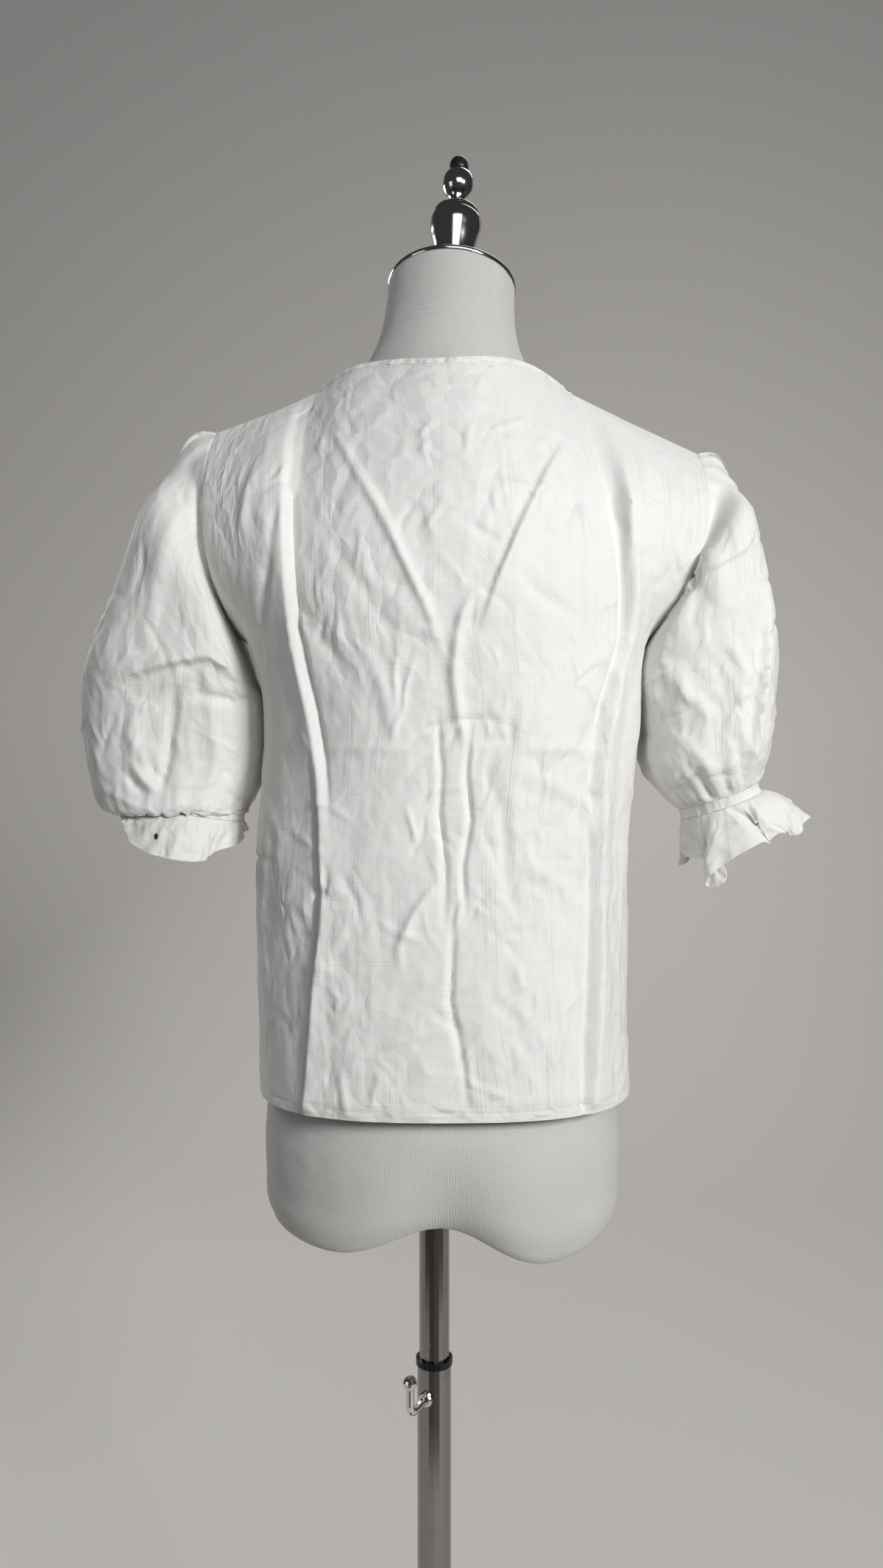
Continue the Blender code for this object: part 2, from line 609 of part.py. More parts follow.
def add_form():
    """The limbless form: rings from its underside to the slanted top of its neck, with the pole's socket."""
    angle = np.arange(FORM_SIDES) / FORM_SIDES * 2 * math.pi
    rings = []
    lowest = form_ring(FORM[0], angle)
    centre = np.array([FORM[0][1], 0.0, 0.0])
    for share in FLOOR_RINGS[::-1]:
        ring = centre + (lowest - centre) * share
        ring[:, 2] = underside_height(ring[:, 0])
        rings.append(ring)
    sides = [form_ring(row, angle) for row in FORM]
    for ring, follow in zip(sides, (1.0, 0.6, 0.25)):
        ring[:, 2] += (underside_height(ring[:, 0]) + 0.005 - FORM[0][0]) * follow
    rings += sides
    _, back_way, up = cap_axes()
    cap_foot = np.array(CAP_CENTRE) - up * (CAP_THICK / 2 + GAP)
    side_way = np.cross(back_way, up)
    top = cap_foot + np.sin(angle)[:, None] * side_way * (CAP_RADIUS - 0.001)
    top = top - np.cos(angle)[:, None] * back_way * (CAP_RADIUS - 0.001)
    rings[-1][:, 2] += (top[:, 2] - cap_foot[2]) * 0.6
    rings[-2][:, 2] += (top[:, 2] - cap_foot[2]) * 0.3
    rings.append(top)
    points = np.concatenate(rings)
    faces = []
    for i in range(len(rings) - 1):
        for j in range(FORM_SIDES):
            a = i * FORM_SIDES + j
            b = i * FORM_SIDES + (j + 1) % FORM_SIDES
            faces.append((a, b, b + FORM_SIDES, a + FORM_SIDES))
    faces.append(tuple(range(FORM_SIDES))[::-1])
    last = (len(rings) - 1) * FORM_SIDES
    faces.append(tuple(range(last, last + FORM_SIDES)))
    form = add_mesh("form", points, faces, JERSEY, 0.85)
    cutter = add_turned("socket_cutter", [(0.64, 0.0), (0.64, MAST_RADIUS + GAP),
                                          (MAST_TOP + GAP, MAST_RADIUS + GAP), (MAST_TOP + GAP, 0.0)], CHROME, 0.5)
    cutter.hide_render = True
    cutter.display_type = "WIRE"
    cut = form.modifiers.new("socket", "BOOLEAN")
    cut.operation = "DIFFERENCE"
    cut.object = cutter
    return form


def cap_axes():
    """Sideways, backward and upward directions of the neck cap."""
    up = Vector((math.sin(CAP_LEAN), math.sin(CAP_TILT), math.cos(CAP_TILT) * math.cos(CAP_LEAN))).normalized()
    side = Vector((1.0, 0.0, 0.0))
    side = (side - up * side.dot(up)).normalized()
    back = up.cross(side).normalized() * -1.0
    return np.array(side), np.array(back), np.array(up)


def add_turned(name, profile, colour, roughness, metallic=0.0, foot=(0, 0, 0), up=(0, 0, 1), sides=ROUND):
    """A solid turned about an axis from (height, radius) rows; a radius of 0 closes an end in a point."""
    turn = Vector((0, 0, 1)).rotation_difference(Vector(tuple(map(float, up)))).to_matrix()
    turn = np.array(turn)
    angle = np.arange(sides) / sides * 2 * math.pi
    circle = np.stack([np.cos(angle), np.sin(angle), np.zeros(sides)], axis=1)
    points = []
    starts = []
    for height, radius in profile:
        starts.append(len(points))
        if radius <= 0:
            points.append(np.array([0.0, 0.0, height]))
        else:
            points.extend(circle * radius + np.array([0.0, 0.0, height]))
    faces = []
    for (_, low), (_, high), a, b in zip(profile[:-1], profile[1:], starts[:-1], starts[1:]):
        for j in range(sides):
            k = (j + 1) % sides
            if low <= 0:
                faces.append((a, b + k, b + j))
            elif high <= 0:
                faces.append((a + j, a + k, b))
            else:
                faces.append((a + j, a + k, b + k, b + j))
    if profile[0][1] > 0:
        faces.append(tuple(range(sides))[::-1])
    if profile[-1][1] > 0:
        faces.append(tuple(range(starts[-1], starts[-1] + sides)))
    placed = np.array(points) @ turn.T + np.array(foot, float)
    return add_mesh(name, placed, faces, colour, roughness, metallic)


def add_tube(name, radius, bore, low, high, colour, roughness, metallic):
    """A straight pipe or ring about the pole's axis."""
    angle = np.arange(ROUND) / ROUND * 2 * math.pi
    rings = []
    for r, z in ((radius, low), (radius, high), (bore, high), (bore, low)):
        rings.append(np.stack([np.cos(angle) * r, np.sin(angle) * r, np.full(ROUND, z)], axis=1))
    points = np.concatenate(rings)
    faces = []
    for i in range(4):
        for j in range(ROUND):
            a = i * ROUND + j
            b = i * ROUND + (j + 1) % ROUND
            c = (i + 1) % 4 * ROUND + (j + 1) % ROUND
            d = (i + 1) % 4 * ROUND + j
            faces.append((a, b, c, d))
    return add_mesh(name, points, faces, colour, roughness, metallic)


def add_head_fittings():
    """Neck cap, finial and its tip, one above the other along the cap's axis."""
    _, _, up = cap_axes()
    centre = np.array(CAP_CENTRE)
    half = CAP_THICK / 2
    cap = [(-half, CAP_RADIUS - 0.0005), (-half * 0.6, CAP_RADIUS), (half * 0.6, CAP_RADIUS),
           (half, CAP_RADIUS - 0.0008)]
    add_turned("neck_cap", cap, CHROME, 0.12, 1.0, centre, up, 40)
    foot = centre + up * (half + GAP)
    add_turned("finial", FINIAL, CHROME, 0.08, 1.0, foot, up)
    foot = foot + up * (FINIAL[-1][0] + GAP)
    add_turned("finial_tip", TIP, (0.02, 0.02, 0.02), 0.35, 0.0, foot, up, 20)


def add_hook():
    """The J hook that clamps the mast, and the boss that it passes through."""
    way = np.array([math.cos(HOOK_ANGLE), math.sin(HOOK_ANGLE), 0.0])
    boss_foot = way * (POST_RADIUS + GAP) + np.array([0, 0, HOOK_Z])
    boss = [(0.0, BOSS_RADIUS), (BOSS_LENGTH * 0.7, BOSS_RADIUS), (BOSS_LENGTH, BOSS_RADIUS - 0.0008)]
    add_turned("hook_boss", boss, CHROME, 0.15, 1.0, boss_foot, way, 20)
    start = POST_RADIUS + GAP + BOSS_LENGTH + GAP
    rings = []
    up = np.array([0.0, 0.0, 1.0])
    side = np.cross(way, up)
    bend_centre = way * (HOOK_REACH - HOOK_BEND) + up * HOOK_BEND
    spots = [(way * start, way, HOOK_ROD), (way * (HOOK_REACH - HOOK_BEND - 0.001), way, HOOK_ROD)]
    for turn in np.linspace(0, math.pi / 2, 5)[1:]:
        spot = bend_centre + way * HOOK_BEND * math.sin(turn) - up * HOOK_BEND * math.cos(turn)
        spots.append((spot, way * math.cos(turn) + up * math.sin(turn), HOOK_ROD))
    ball_z = HOOK_RISE
    for polar in np.linspace(math.radians(146), math.radians(12), 7):
        spot = way * HOOK_REACH + up * (ball_z + HOOK_BALL * math.cos(polar))
        spots.append((spot, up, HOOK_BALL * math.sin(polar)))
    angle = np.arange(14) / 14 * 2 * math.pi
    for spot, tangent, radius in spots:
        level = np.cross(tangent, side)
        ring = spot + np.cos(angle)[:, None] * side * radius + np.sin(angle)[:, None] * level * radius
        rings.append(ring + np.array([0, 0, HOOK_Z]))
    faces = []
    for i in range(len(rings) - 1):
        for j in range(14):
            a = i * 14 + j
            b = i * 14 + (j + 1) % 14
            faces.append((a, b, b + 14, a + 14))
    faces.append(tuple(range(14))[::-1])
    faces.append(tuple(range((len(rings) - 1) * 14, len(rings) * 14)))
    add_mesh("hook", np.concatenate(rings), faces, CHROME, 0.12, 1.0)


def add_stand():
    """Mast, post, ring, hook and base plate."""
    mast = [(MAST_BOTTOM, MAST_RADIUS), (MAST_TOP, MAST_RADIUS)]
    add_turned("mast", mast, CHROME, 0.10, 1.0)
    add_tube("post", POST_RADIUS, MAST_RADIUS + GAP, BASE_HEIGHT + GAP, POST_TOP, CHROME, 0.10, 1.0)
    ring_low = POST_TOP + GAP
    add_tube("post_ring", RING_RADIUS, MAST_RADIUS + GAP, ring_low, ring_low + RING_HEIGHT,
             (0.05, 0.05, 0.05), 0.3, 0.6)
    plate = [(0.0, BASE_RADIUS - 0.001), (0.001, BASE_RADIUS), (BASE_HEIGHT - BASE_ROUND, BASE_RADIUS),
             (BASE_HEIGHT - 0.001, BASE_RADIUS - BASE_ROUND * 0.4), (BASE_HEIGHT, BASE_RADIUS - BASE_ROUND)]
    add_turned("base_plate", plate, CHROME, 0.15, 1.0, sides=48)
    add_hook()


def main():
    """Build every piece."""
    clear_scene()
    back, back_normal = add_panel("back_panel", -1)
    front, front_normal = add_panel("front_panel", 1)
    add_hem("hem_back", back, back_normal, -1)
    add_hem("hem_front", front, front_normal, 1)
    add_binding(*neck_loop(back, back_normal, front, front_normal))
    for name, column in (("left", 0), ("right", -1)):
        loop, normal = armhole_loop(column, back, back_normal, front, front_normal)
        add_sleeve(name, loop, normal)
        add_elastic(name)
        add_ruffle(name)
    add_form()
    add_head_fittings()
    add_stand()


main()
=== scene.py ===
# %% [markdown]
# # A puff sleeve blouse on a dress form
#
# The object is a white cotton blouse, seen from behind on a limbless dress form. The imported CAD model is
# the frame for everything here: it fixes the size and the place of each piece. This lesson puts the
# cloth, the jersey and the metal on that frame. All lengths are in metres.

# %% Load the frame
import math
import bpy
import numpy as np
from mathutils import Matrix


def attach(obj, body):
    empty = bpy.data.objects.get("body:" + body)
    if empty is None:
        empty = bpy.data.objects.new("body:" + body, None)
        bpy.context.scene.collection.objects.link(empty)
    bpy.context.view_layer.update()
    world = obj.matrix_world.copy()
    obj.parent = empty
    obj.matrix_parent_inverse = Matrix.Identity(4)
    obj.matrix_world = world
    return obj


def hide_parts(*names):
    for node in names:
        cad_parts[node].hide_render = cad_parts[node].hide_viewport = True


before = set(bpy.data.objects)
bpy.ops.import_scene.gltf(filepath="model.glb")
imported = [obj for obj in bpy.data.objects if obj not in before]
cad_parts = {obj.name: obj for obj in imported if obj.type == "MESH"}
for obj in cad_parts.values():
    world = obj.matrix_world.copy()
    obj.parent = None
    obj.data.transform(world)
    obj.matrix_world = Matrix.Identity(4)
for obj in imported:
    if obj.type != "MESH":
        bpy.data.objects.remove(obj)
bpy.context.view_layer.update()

# %% [markdown]
# ## Helpers
#
# Objects and small node trees are made all through this lesson. With these functions a node takes one line,
# so a finish can be read like a formula.


# %% Helpers for meshes and materials
def link(name, data):
    """Put a mesh, lamp or camera into the scene as an object at the origin."""
    thing = bpy.data.objects.new(name, data)
    bpy.context.scene.collection.objects.link(thing)
    return thing


def plain_material(name, colour, roughness, metallic=0.0):
    """A Principled material with constant values, and its shader."""
    made = bpy.data.materials.new(name)
    made.use_nodes = True
    shader = made.node_tree.nodes["Principled BSDF"]
    settle(shader, Base_Color=(*colour, 1.0), Roughness=roughness, Metallic=metallic)
    return made, shader


def plain_piece(name, points, faces, finish):
    """An object from lists of points and faces, with one finish."""
    mesh = bpy.data.meshes.new(name)
    mesh.from_pydata(points, [], faces)
    mesh.materials.append(finish)
    return link(name, mesh)


# %% Helpers for shaders
def adder(made):
    """A function that adds one node with its settings and inputs to a material's tree."""
    def add(kind, settings=(), **inputs):
        node = made.node_tree.nodes.new(kind)
        for key, value in dict(settings).items():
            setattr(node, key, value)
        settle(node, **inputs)
        return node

    return add


def fill(socket, value):
    """Link another node's output to a socket, or set a plain value on it."""
    if isinstance(value, bpy.types.NodeSocket):
        socket.id_data.links.new(value, socket)
    else:
        socket.default_value = value


def settle(node, **inputs):
    """Fill the inputs of a node by name; an underscore stands for a space."""
    for key, value in inputs.items():
        fill(node.inputs[key.replace("_", " ")], value)


def own_place(add):
    """A point's place in its object's coordinates, in metres."""
    return add("ShaderNodeTexCoord").outputs["Object"]


def scaled(add, source, scale):
    """The source coordinates times a scale for each axis."""
    return add("ShaderNodeMapping", Vector=source, Scale=scale).outputs["Vector"]


def noise(add, source, scale, detail):
    """Smooth noise from 0 to 1, with a scale for each axis of the source."""
    return add("ShaderNodeTexNoise", Vector=scaled(add, source, scale), Scale=1.0,
               Detail=detail).outputs["Fac"]


def ramp(add, value, low, high, low_to=0.0, high_to=1.0):
    """The value mapped from low..high to low_to..high_to, held at both ends."""
    return add("ShaderNodeMapRange", Value=value, From_Min=low, From_Max=high, To_Min=low_to,
               To_Max=high_to).outputs["Result"]


def product(add, a, b):
    """One value times the other."""
    node = add("ShaderNodeMath", {"operation": "MULTIPLY"})
    fill(node.inputs[0], a)
    fill(node.inputs[1], b)
    return node.outputs["Value"]


def bands(add, source, way, scale, distortion):
    """Waves from 0 to 1 across one axis of the source."""
    return add("ShaderNodeTexWave", {"bands_direction": way}, Vector=source, Scale=scale,
               Distortion=distortion).outputs["Fac"]


def mixed(add, share, a, b, kind="MIX"):
    """Two colours mixed: `a` where the share is 0 and `b` (or their product, for MULTIPLY) where it is 1."""
    mix = add("ShaderNodeMix", {"data_type": "RGBA", "blend_type": kind}, Factor=share)
    fill(mix.inputs[6], a)
    fill(mix.inputs[7], b)
    return mix.outputs[2]


def tinted(add, shader, tint, shade):
    """The tint times a shade near 1, into the shader's base colour."""
    settle(shader, Base_Color=mixed(add, 1.0, (*tint, 1.0), shade, "MULTIPLY"))


def bump_chain(add, shader, steps):
    """Bump nodes one after another from (height, distance in metres) rows, into the shader's normal."""
    last = None
    for height, distance in steps:
        node = add("ShaderNodeBump", Height=height, Distance=distance, Strength=1.0)
        if last is not None:
            fill(node.inputs["Normal"], last)
        last = node.outputs["Normal"]
    fill(shader.inputs["Normal"], last)


# %% [markdown]
# ## The photographer's set
#
# The photograph was taken level, from less than a metre away, so the sleeves lean outward a little.
# A 26 mm lens at the same place gives the same perspective. The set is a warm grey sheet that runs down
# the wall and forward over the floor in one sweep. It could be two planes with a corner, but a sweep
# leaves no line behind the form.

# %% Camera
CAMERA_PLACE = (0.006, -0.939, 1.08)
LENS_MM = 26.0

camera_data = bpy.data.cameras.new("camera")
camera_data.lens = LENS_MM
camera = link("camera", camera_data)
camera.location = CAMERA_PLACE
camera.rotation_euler = (math.radians(90), 0, 0)
bpy.context.scene.camera = camera
bpy.context.scene.view_settings.view_transform = "Standard"
print("camera at", CAMERA_PLACE)

# %% [markdown]
# ## The paper sweep
#
# The paper has a painted pool of light: its colour is lightest in a soft ball round the form, in the room's
# own coordinates, and darker toward its edges. The paper also has a painted glow: it shines a little by
# itself.

# %% Backdrop
SWEEP_HALF = 4.0
SWEEP_WALL_Y = 3.4
SWEEP_RADIUS = 1.4
SWEEP_TOP = 4.5
SWEEP_START_Y = -0.85
PAPER_FAR = (0.61, 0.592, 0.574, 1.0)
PAPER_PAINTED_LIGHT = (0.86, 0.836, 0.812, 1.0)
PAPER_PAINTED_GLOW = 0.16
turn = np.linspace(0, math.pi / 2, 24)
curve_y = SWEEP_WALL_Y - SWEEP_RADIUS + SWEEP_RADIUS * np.sin(turn)
sweep_y = np.concatenate([[SWEEP_START_Y], curve_y, [SWEEP_WALL_Y]])
sweep_z = np.concatenate([[0.0], SWEEP_RADIUS - SWEEP_RADIUS * np.cos(turn), [SWEEP_TOP]])
side_x = np.array([-SWEEP_HALF, SWEEP_HALF])
sweep_points = np.stack(np.broadcast_arrays(side_x[None, :], sweep_y[:, None], sweep_z[:, None]), axis=-1)
first = np.arange(len(sweep_y) - 1)[:, None] * 2
sweep_faces = (first + np.array([0, 1, 3, 2])).tolist()
paper, paper_shader = plain_material("backdrop_paper", PAPER_FAR[:3], 0.9)
add = adder(paper)
# Painted pool of light: a soft ball round the form where the paper's colour is lighter.
paper_place = add("ShaderNodeMapping", Vector=own_place(add), Location=(-0.25, -1.15, -0.28),
                  Scale=(0.28, 0.34, 0.26)).outputs["Vector"]
near = add("ShaderNodeTexGradient", {"gradient_type": "SPHERICAL"}, Vector=paper_place).outputs["Fac"]
painted_paper_colour = mixed(add, near, PAPER_FAR, PAPER_PAINTED_LIGHT)
# Painted glow: the paper emits its own colour, as if it were lit.
settle(paper_shader, Base_Color=painted_paper_colour, Emission_Color=painted_paper_colour, Emission_Strength=PAPER_PAINTED_GLOW)
backdrop = plain_piece("backdrop", sweep_points.reshape(-1, 3).tolist(), sweep_faces, paper)
backdrop.data.shade_smooth()
floor_corners = ((-SWEEP_HALF, -4.0), (SWEEP_HALF, -4.0), (SWEEP_HALF, 1.0), (-SWEEP_HALF, 1.0))
boards = plain_material("studio_boards", (0.13, 0.127, 0.122), 0.8)[0]
studio_floor = plain_piece("studio_floor", [(x, y, -0.002) for x, y in floor_corners], [(0, 1, 2, 3)], boards)
print("backdrop points", len(backdrop.data.vertices))

# %% [markdown]
# ## Light
#
# The right side of the blouse is nearly white and its left sleeve is greyer, so the larger light stands
# at the right. Area lights are used because their soft edge keeps the creases visible without hard
# shadows.

# %% Lights
# Columns: name, place, aim, size, watts
LIGHTS = [
    ("key", (1.4, -1.9, 1.85), (0.0, 0.0, 1.1), 0.6, 52.0),
    ("fill", (-2.1, -1.4, 1.5), (0.0, 0.0, 1.1), 1.0, 3.0),
    ("top", (0.3, -1.8, 2.0), (0.0, 0.1, 1.0), 1.2, 7.0),
    ("rear", (0.5, 1.3, 3.1), (0.0, 0.0, 1.1), 1.0, 8.0),
    ("rear_side", (-1.9, 1.6, 2.0), (0.0, 0.0, 1.1), 0.8, 20.0),
]
for name, place, aim, size, watts in LIGHTS:
    lamp = bpy.data.lights.new(name, "AREA")
    lamp.energy = watts
    lamp.size = size
    holder = link(name, lamp)
    holder.location = place
    way = np.array(place) - np.array(aim)
    flat_length = math.hypot(way[0], way[1])
    holder.rotation_euler = (math.atan2(flat_length, way[2]), 0, math.atan2(way[0], -way[1]))
world = bpy.data.worlds.new("studio")
world.use_nodes = True
settle(world.node_tree.nodes["Background"], Color=(1.0, 0.98, 0.95, 1.0), Strength=0.04)
bpy.context.scene.world = world
print("lights", [row[0] for row in LIGHTS])

# %% [markdown]
# ## Reading a short table as a smooth curve
#
# The blouse is described by a few rows of sizes, like the grading table of a paper pattern. A cubic curve
# through the rows gives every place between them. The table could be typed in finely instead, but a short
# one can be checked against the photograph row by row.


# %% Curves through tables
def hermite(start, leave, end, arrive, step):
    """The cubic that leaves `start` along `leave` and arrives at `end` along `arrive`, at step 0 to 1."""
    return ((1 + 2 * step) * (1 - step) ** 2 * start + step * (1 - step) ** 2 * leave
            + step ** 2 * (3 - 2 * step) * end + step ** 2 * (step - 1) * arrive)


def curve_through(knots, rows, at):
    """The rows, which lie at the knots, read at any place between them.

    Between two rows a cubic runs that meets both rows, with the slope that the neighbouring rows give."""
    slope = np.gradient(rows, knots, axis=0)
    cell = np.clip(np.searchsorted(knots, at, side="right") - 1, 0, len(knots) - 2)
    spread = (..., *[None] * (rows.ndim - 1))
    width = (knots[cell + 1] - knots[cell])[spread]
    step = (at - knots[cell])[spread] / width
    return hermite(rows[cell], width * slope[cell], rows[cell + 1], width * slope[cell + 1], step)


def read_table(rows, at):
    """Every column of a table at the values `at` of its first column, held at both ends."""
    table = np.array(rows, float)
    knots = table[:, 0]
    return curve_through(knots, table, np.clip(np.asarray(at, float), knots[0], knots[-1]))


def bell(off, width):
    """1 in the middle, falling to both sides: e to the minus (distance / width) squared."""
    return np.exp(-(off / width) ** 2)


def full_turn(count):
    """Even angles round a full turn: number times two pi over the count."""
    return np.arange(count) / count * 2 * math.pi


def running(lengths):
    """The total of the lengths so far, from 0 on."""
    return np.concatenate([[0], np.cumsum(lengths)])


def superellipse(angle, half_width, depth, power):
    """Sideways and depthwise places on an oval; a power above 2 makes it squarer."""
    across = np.sign(np.sin(angle)) * np.abs(np.sin(angle)) ** (2 / power) * half_width
    along = np.sign(np.cos(angle)) * np.abs(np.cos(angle)) ** (2 / power) * depth
    return across, along


def unit(ways):
    """Directions, each divided by its own length."""
    return ways / np.linalg.norm(ways, axis=-1, keepdims=True)


def surface_ways(points, outward):
    """Unit normals of a grid of points, turned to the side that `outward` points to."""
    normal = unit(np.cross(np.gradient(points, axis=0), np.gradient(points, axis=1)))
    return normal * np.where((normal * outward).sum(axis=2, keepdims=True) < 0, -1.0, 1.0)


def ring_ways(points, outward):
    """Unit normals of a grid whose last column meets its first, as surface_ways gives them."""
    points, outward = (np.concatenate([grid[:, -1:], grid, grid[:, :1]], axis=1)
                       for grid in (points, outward))
    return surface_ways(points, outward)[:, 1:-1]


def along_ring(loop):
    """The direction of a ring at each point: the next point minus the one before."""
    return np.roll(loop, -1, axis=0) - np.roll(loop, 1, axis=0)


def eased_ring(ways, times):
    """Directions round a ring, averaged with their neighbours several times."""
    for _ in range(times):
        ways = unit(ways + np.roll(ways, 1, axis=0) + np.roll(ways, -1, axis=0))
    return ways


print("halfway from 1 to 3", float(read_table([(0, 1), (1, 3)], 0.5)[1]))


# %% [markdown]
# ## Crumples and creases
#
# Washed cotton keeps small sharp creases at every size. Hills of smooth noise, taken without their sign,
# have narrow valleys where they cross zero, much as crushed cloth has. A cloth simulation could make them
# as well, but it can't place the pressed creases that the photograph shows, so those are laid along short
# listed paths.


# %% Noise and creases
HILL_CELLS = 64


def hills(u, v, seed):
    """Smooth random hills about one unit wide, from -0.7 to 0.7.

    Each corner of a unit grid has a random slope; inside a cell the four slopes are blended smoothly. The
    pattern comes again after HILL_CELLS units."""
    turn = np.random.default_rng(seed).uniform(0, 2 * math.pi, (HILL_CELLS, HILL_CELLS))
    u, v = np.broadcast_arrays(u, v)
    iu, iv = np.floor(u).astype(int), np.floor(v).astype(int)
    fu, fv = u - iu, v - iv
    ease_u = fu ** 3 * (fu * (6 * fu - 15) + 10)
    ease_v = fv ** 3 * (fv * (6 * fv - 15) + 10)
    total = 0.0
    for du, dv in ((0, 0), (0, 1), (1, 0), (1, 1)):
        angle = turn[(iu + du) % HILL_CELLS, (iv + dv) % HILL_CELLS]
        slope = np.cos(angle) * (fu - du) + np.sin(angle) * (fv - dv)
        total = total + slope * (ease_u if du else 1 - ease_u) * (ease_v if dv else 1 - ease_v)
    return total


# Columns: size, height, stretch_v
CRUMPLES = [(0.1, 0.0021, 2.2), (0.046, 0.0011, 1.8), (0.023, 0.0007, 1.5), (0.0105, 0.00045, 1.2)]


def crumple(u, v, seed):
    """Small crushed creases as a height in metres: at each size, the hills with a sharp valley at zero."""
    bend_u = u + 0.012 * hills(u / 0.06, v / 0.06, seed + 50)
    bend_v = v + 0.012 * hills(u / 0.06 + 9.5, v / 0.06, seed + 51)
    total = 0.0
    for number, (size, height, stretch) in enumerate(CRUMPLES):
        wave = hills(bend_u / size, bend_v / (size * stretch), seed + number)
        total = total + height * (np.sqrt(wave ** 2 + 0.0008) - 0.2) * 2
    return total


def crease(x, z, path, width, height, kind="ridge"):
    """The height of one crease along a path of (x, z) points, fading at both ends.

    A ridge is a bell. A step is a narrow bell on the path's right and slopes off slowly on its left."""
    path = np.array(path, float)
    lengths = np.linalg.norm(np.diff(path, axis=0), axis=1)
    whole = lengths.sum()
    nearest, signed, share = np.full(np.shape(x), 9.0), np.zeros(np.shape(x)), np.zeros(np.shape(x))
    gone = 0.0
    for (x0, z0), (x1, z1), length in zip(path[:-1], path[1:], lengths):
        way_x, way_z = (x1 - x0) / length, (z1 - z0) / length
        along = np.clip((x - x0) * way_x + (z - z0) * way_z, 0, length)
        off_x, off_z = x - x0 - along * way_x, z - z0 - along * way_z
        far = np.hypot(off_x, off_z)
        closer = far < nearest
        nearest = np.where(closer, far, nearest)
        signed = np.where(closer, np.where(off_x * way_z - off_z * way_x > 0, far, -far), signed)
        share = np.where(closer, (gone + along) / whole, share)
        gone += length
    fade = np.sin(np.clip(share, 0.02, 0.98) * math.pi) ** 0.6
    if kind == "step":
        slow = np.exp(-np.abs(signed) / (width * 1.6))
        profile = np.where(signed > 0, bell(signed, width * 0.35), slow)
    else:
        profile = bell(nearest, width)
    return height * fade * profile


def scatter_creases(seed, count, low, high):
    """Short uneven creases in a box of (x, z), upright or slanting: rows like those of a crease table."""
    chance = np.random.default_rng(seed)
    rows = []
    for _ in range(count):
        x, z = chance.uniform(low, high)
        lean = chance.normal(0.0, 0.75)
        length = chance.uniform(0.014, 0.05)
        bow = chance.normal(0.0, 0.1) * length
        step_x, step_z = math.sin(lean) * length / 2, math.cos(lean) * length / 2
        path = [(x - step_x, z - step_z), (x + bow, z), (x + step_x, z + step_z)]
        width = chance.uniform(0.0016, 0.0032)
        rows.append(("ridge", width, width * chance.uniform(0.35, 0.8) * chance.choice((-1, 1)), path))
    return rows


def add_creases(lift, x, z, rows):
    """The heights with each crease of a table added."""
    for kind, width, height, path in rows:
        lift = lift + crease(x, z, path, width, height, kind)
    return lift


sample = crumple(np.linspace(0, 1, 400)[:, None], np.linspace(0, 1, 400), 3)
print("crumple from", round(float(sample.min()), 5), "to", round(float(sample.max()), 5))

# %% [markdown]
# ## A grid of points becomes cloth
#
# Cloth has two sides and an edge. Each piece is an outer grid, an inner grid one cloth thickness below
# it, and strips that close the edges. Each point also keeps its place on the flat, uncut cloth in the UV
# map, in metres, so that the weave later follows the cloth and not the room.


# %% The cloth builder
def quads(index):
    """The four corner numbers of each face of a grid of numbers."""
    corners = (index[..., :-1, :-1], index[..., :-1, 1:], index[..., 1:, 1:], index[..., 1:, :-1])
    return np.stack(corners, axis=-1).reshape(-1, 4)


def wall_quads(index, layer, closed):
    """The faces of a wall of two layers: both sides, then a strip on each edge."""
    top, foot, left, right = index[0], index[-1], index[:, 0], index[:, -1]
    strips = [(top[1:], top[:-1]), (foot[:-1], foot[1:])]
    if not closed:
        strips += [(left[:-1], left[1:]), (right[1:], right[:-1])]
    edges = [np.stack([a, b, b + layer, a + layer], axis=-1) for a, b in strips]
    return np.concatenate([quads(index), quads(index)[:, ::-1] + layer, *edges])


def looks_back(points, face, way):
    """Whether a face looks against the given direction."""
    p = points[face]
    return np.dot(np.cross(p[1] - p[0], p[2] - p[1]), way) < 0


def fill_mesh(name, points, faces, corner_uv, finish):
    """A mesh from arrays of points, four-cornered faces and one UV for each face corner."""
    mesh = bpy.data.meshes.new(name)
    mesh.vertices.add(len(points))
    mesh.vertices.foreach_set("co", points.astype(np.float32).ravel())
    mesh.loops.add(faces.size)
    mesh.loops.foreach_set("vertex_index", faces.astype(np.int32).ravel())
    mesh.polygons.add(len(faces))
    mesh.polygons.foreach_set("loop_start", np.arange(0, faces.size, 4, dtype=np.int32))
    mesh.update(calc_edges=True)
    layer = mesh.uv_layers.new(name="flat")
    layer.data.foreach_set("uv", corner_uv.astype(np.float32).ravel())
    mesh.validate()
    mesh.shade_smooth()
    mesh.set_sharp_from_angle(angle=math.radians(65))
    mesh.materials.append(finish)
    return link(name, mesh)


def add_cloth(name, outer, way, thick, closed, flat_u, flat_v, finish):
    """Cloth: its outer side on the grid `outer`, its inner side `thick` below, its flat places as UVs."""
    rows, columns = outer.shape[:2]
    points = np.concatenate([outer.reshape(-1, 3), (outer - way * thick).reshape(-1, 3)])
    corners = columns + 1 if closed else columns
    row, column = np.meshgrid(np.arange(rows), np.arange(corners), indexing="ij")
    faces = wall_quads(row * columns + column % columns, rows * columns, closed)
    uv_faces = wall_quads(row * corners + column, rows * corners, closed)
    uv = np.tile(np.stack(np.broadcast_arrays(flat_u, flat_v), axis=-1).reshape(-1, 2), (2, 1))
    if looks_back(points, faces[0], way[0, 0]):
        faces, uv_faces = faces[:, ::-1], uv_faces[:, ::-1]
    return fill_mesh(name, points, faces, uv[uv_faces], finish)


def cloth_area(piece):
    """Area of one side of a two-sided cloth, in square metres."""
    areas = np.zeros(len(piece.data.polygons), dtype=np.float32)
    piece.data.polygons.foreach_get("area", areas)
    return float(areas.sum()) / 2


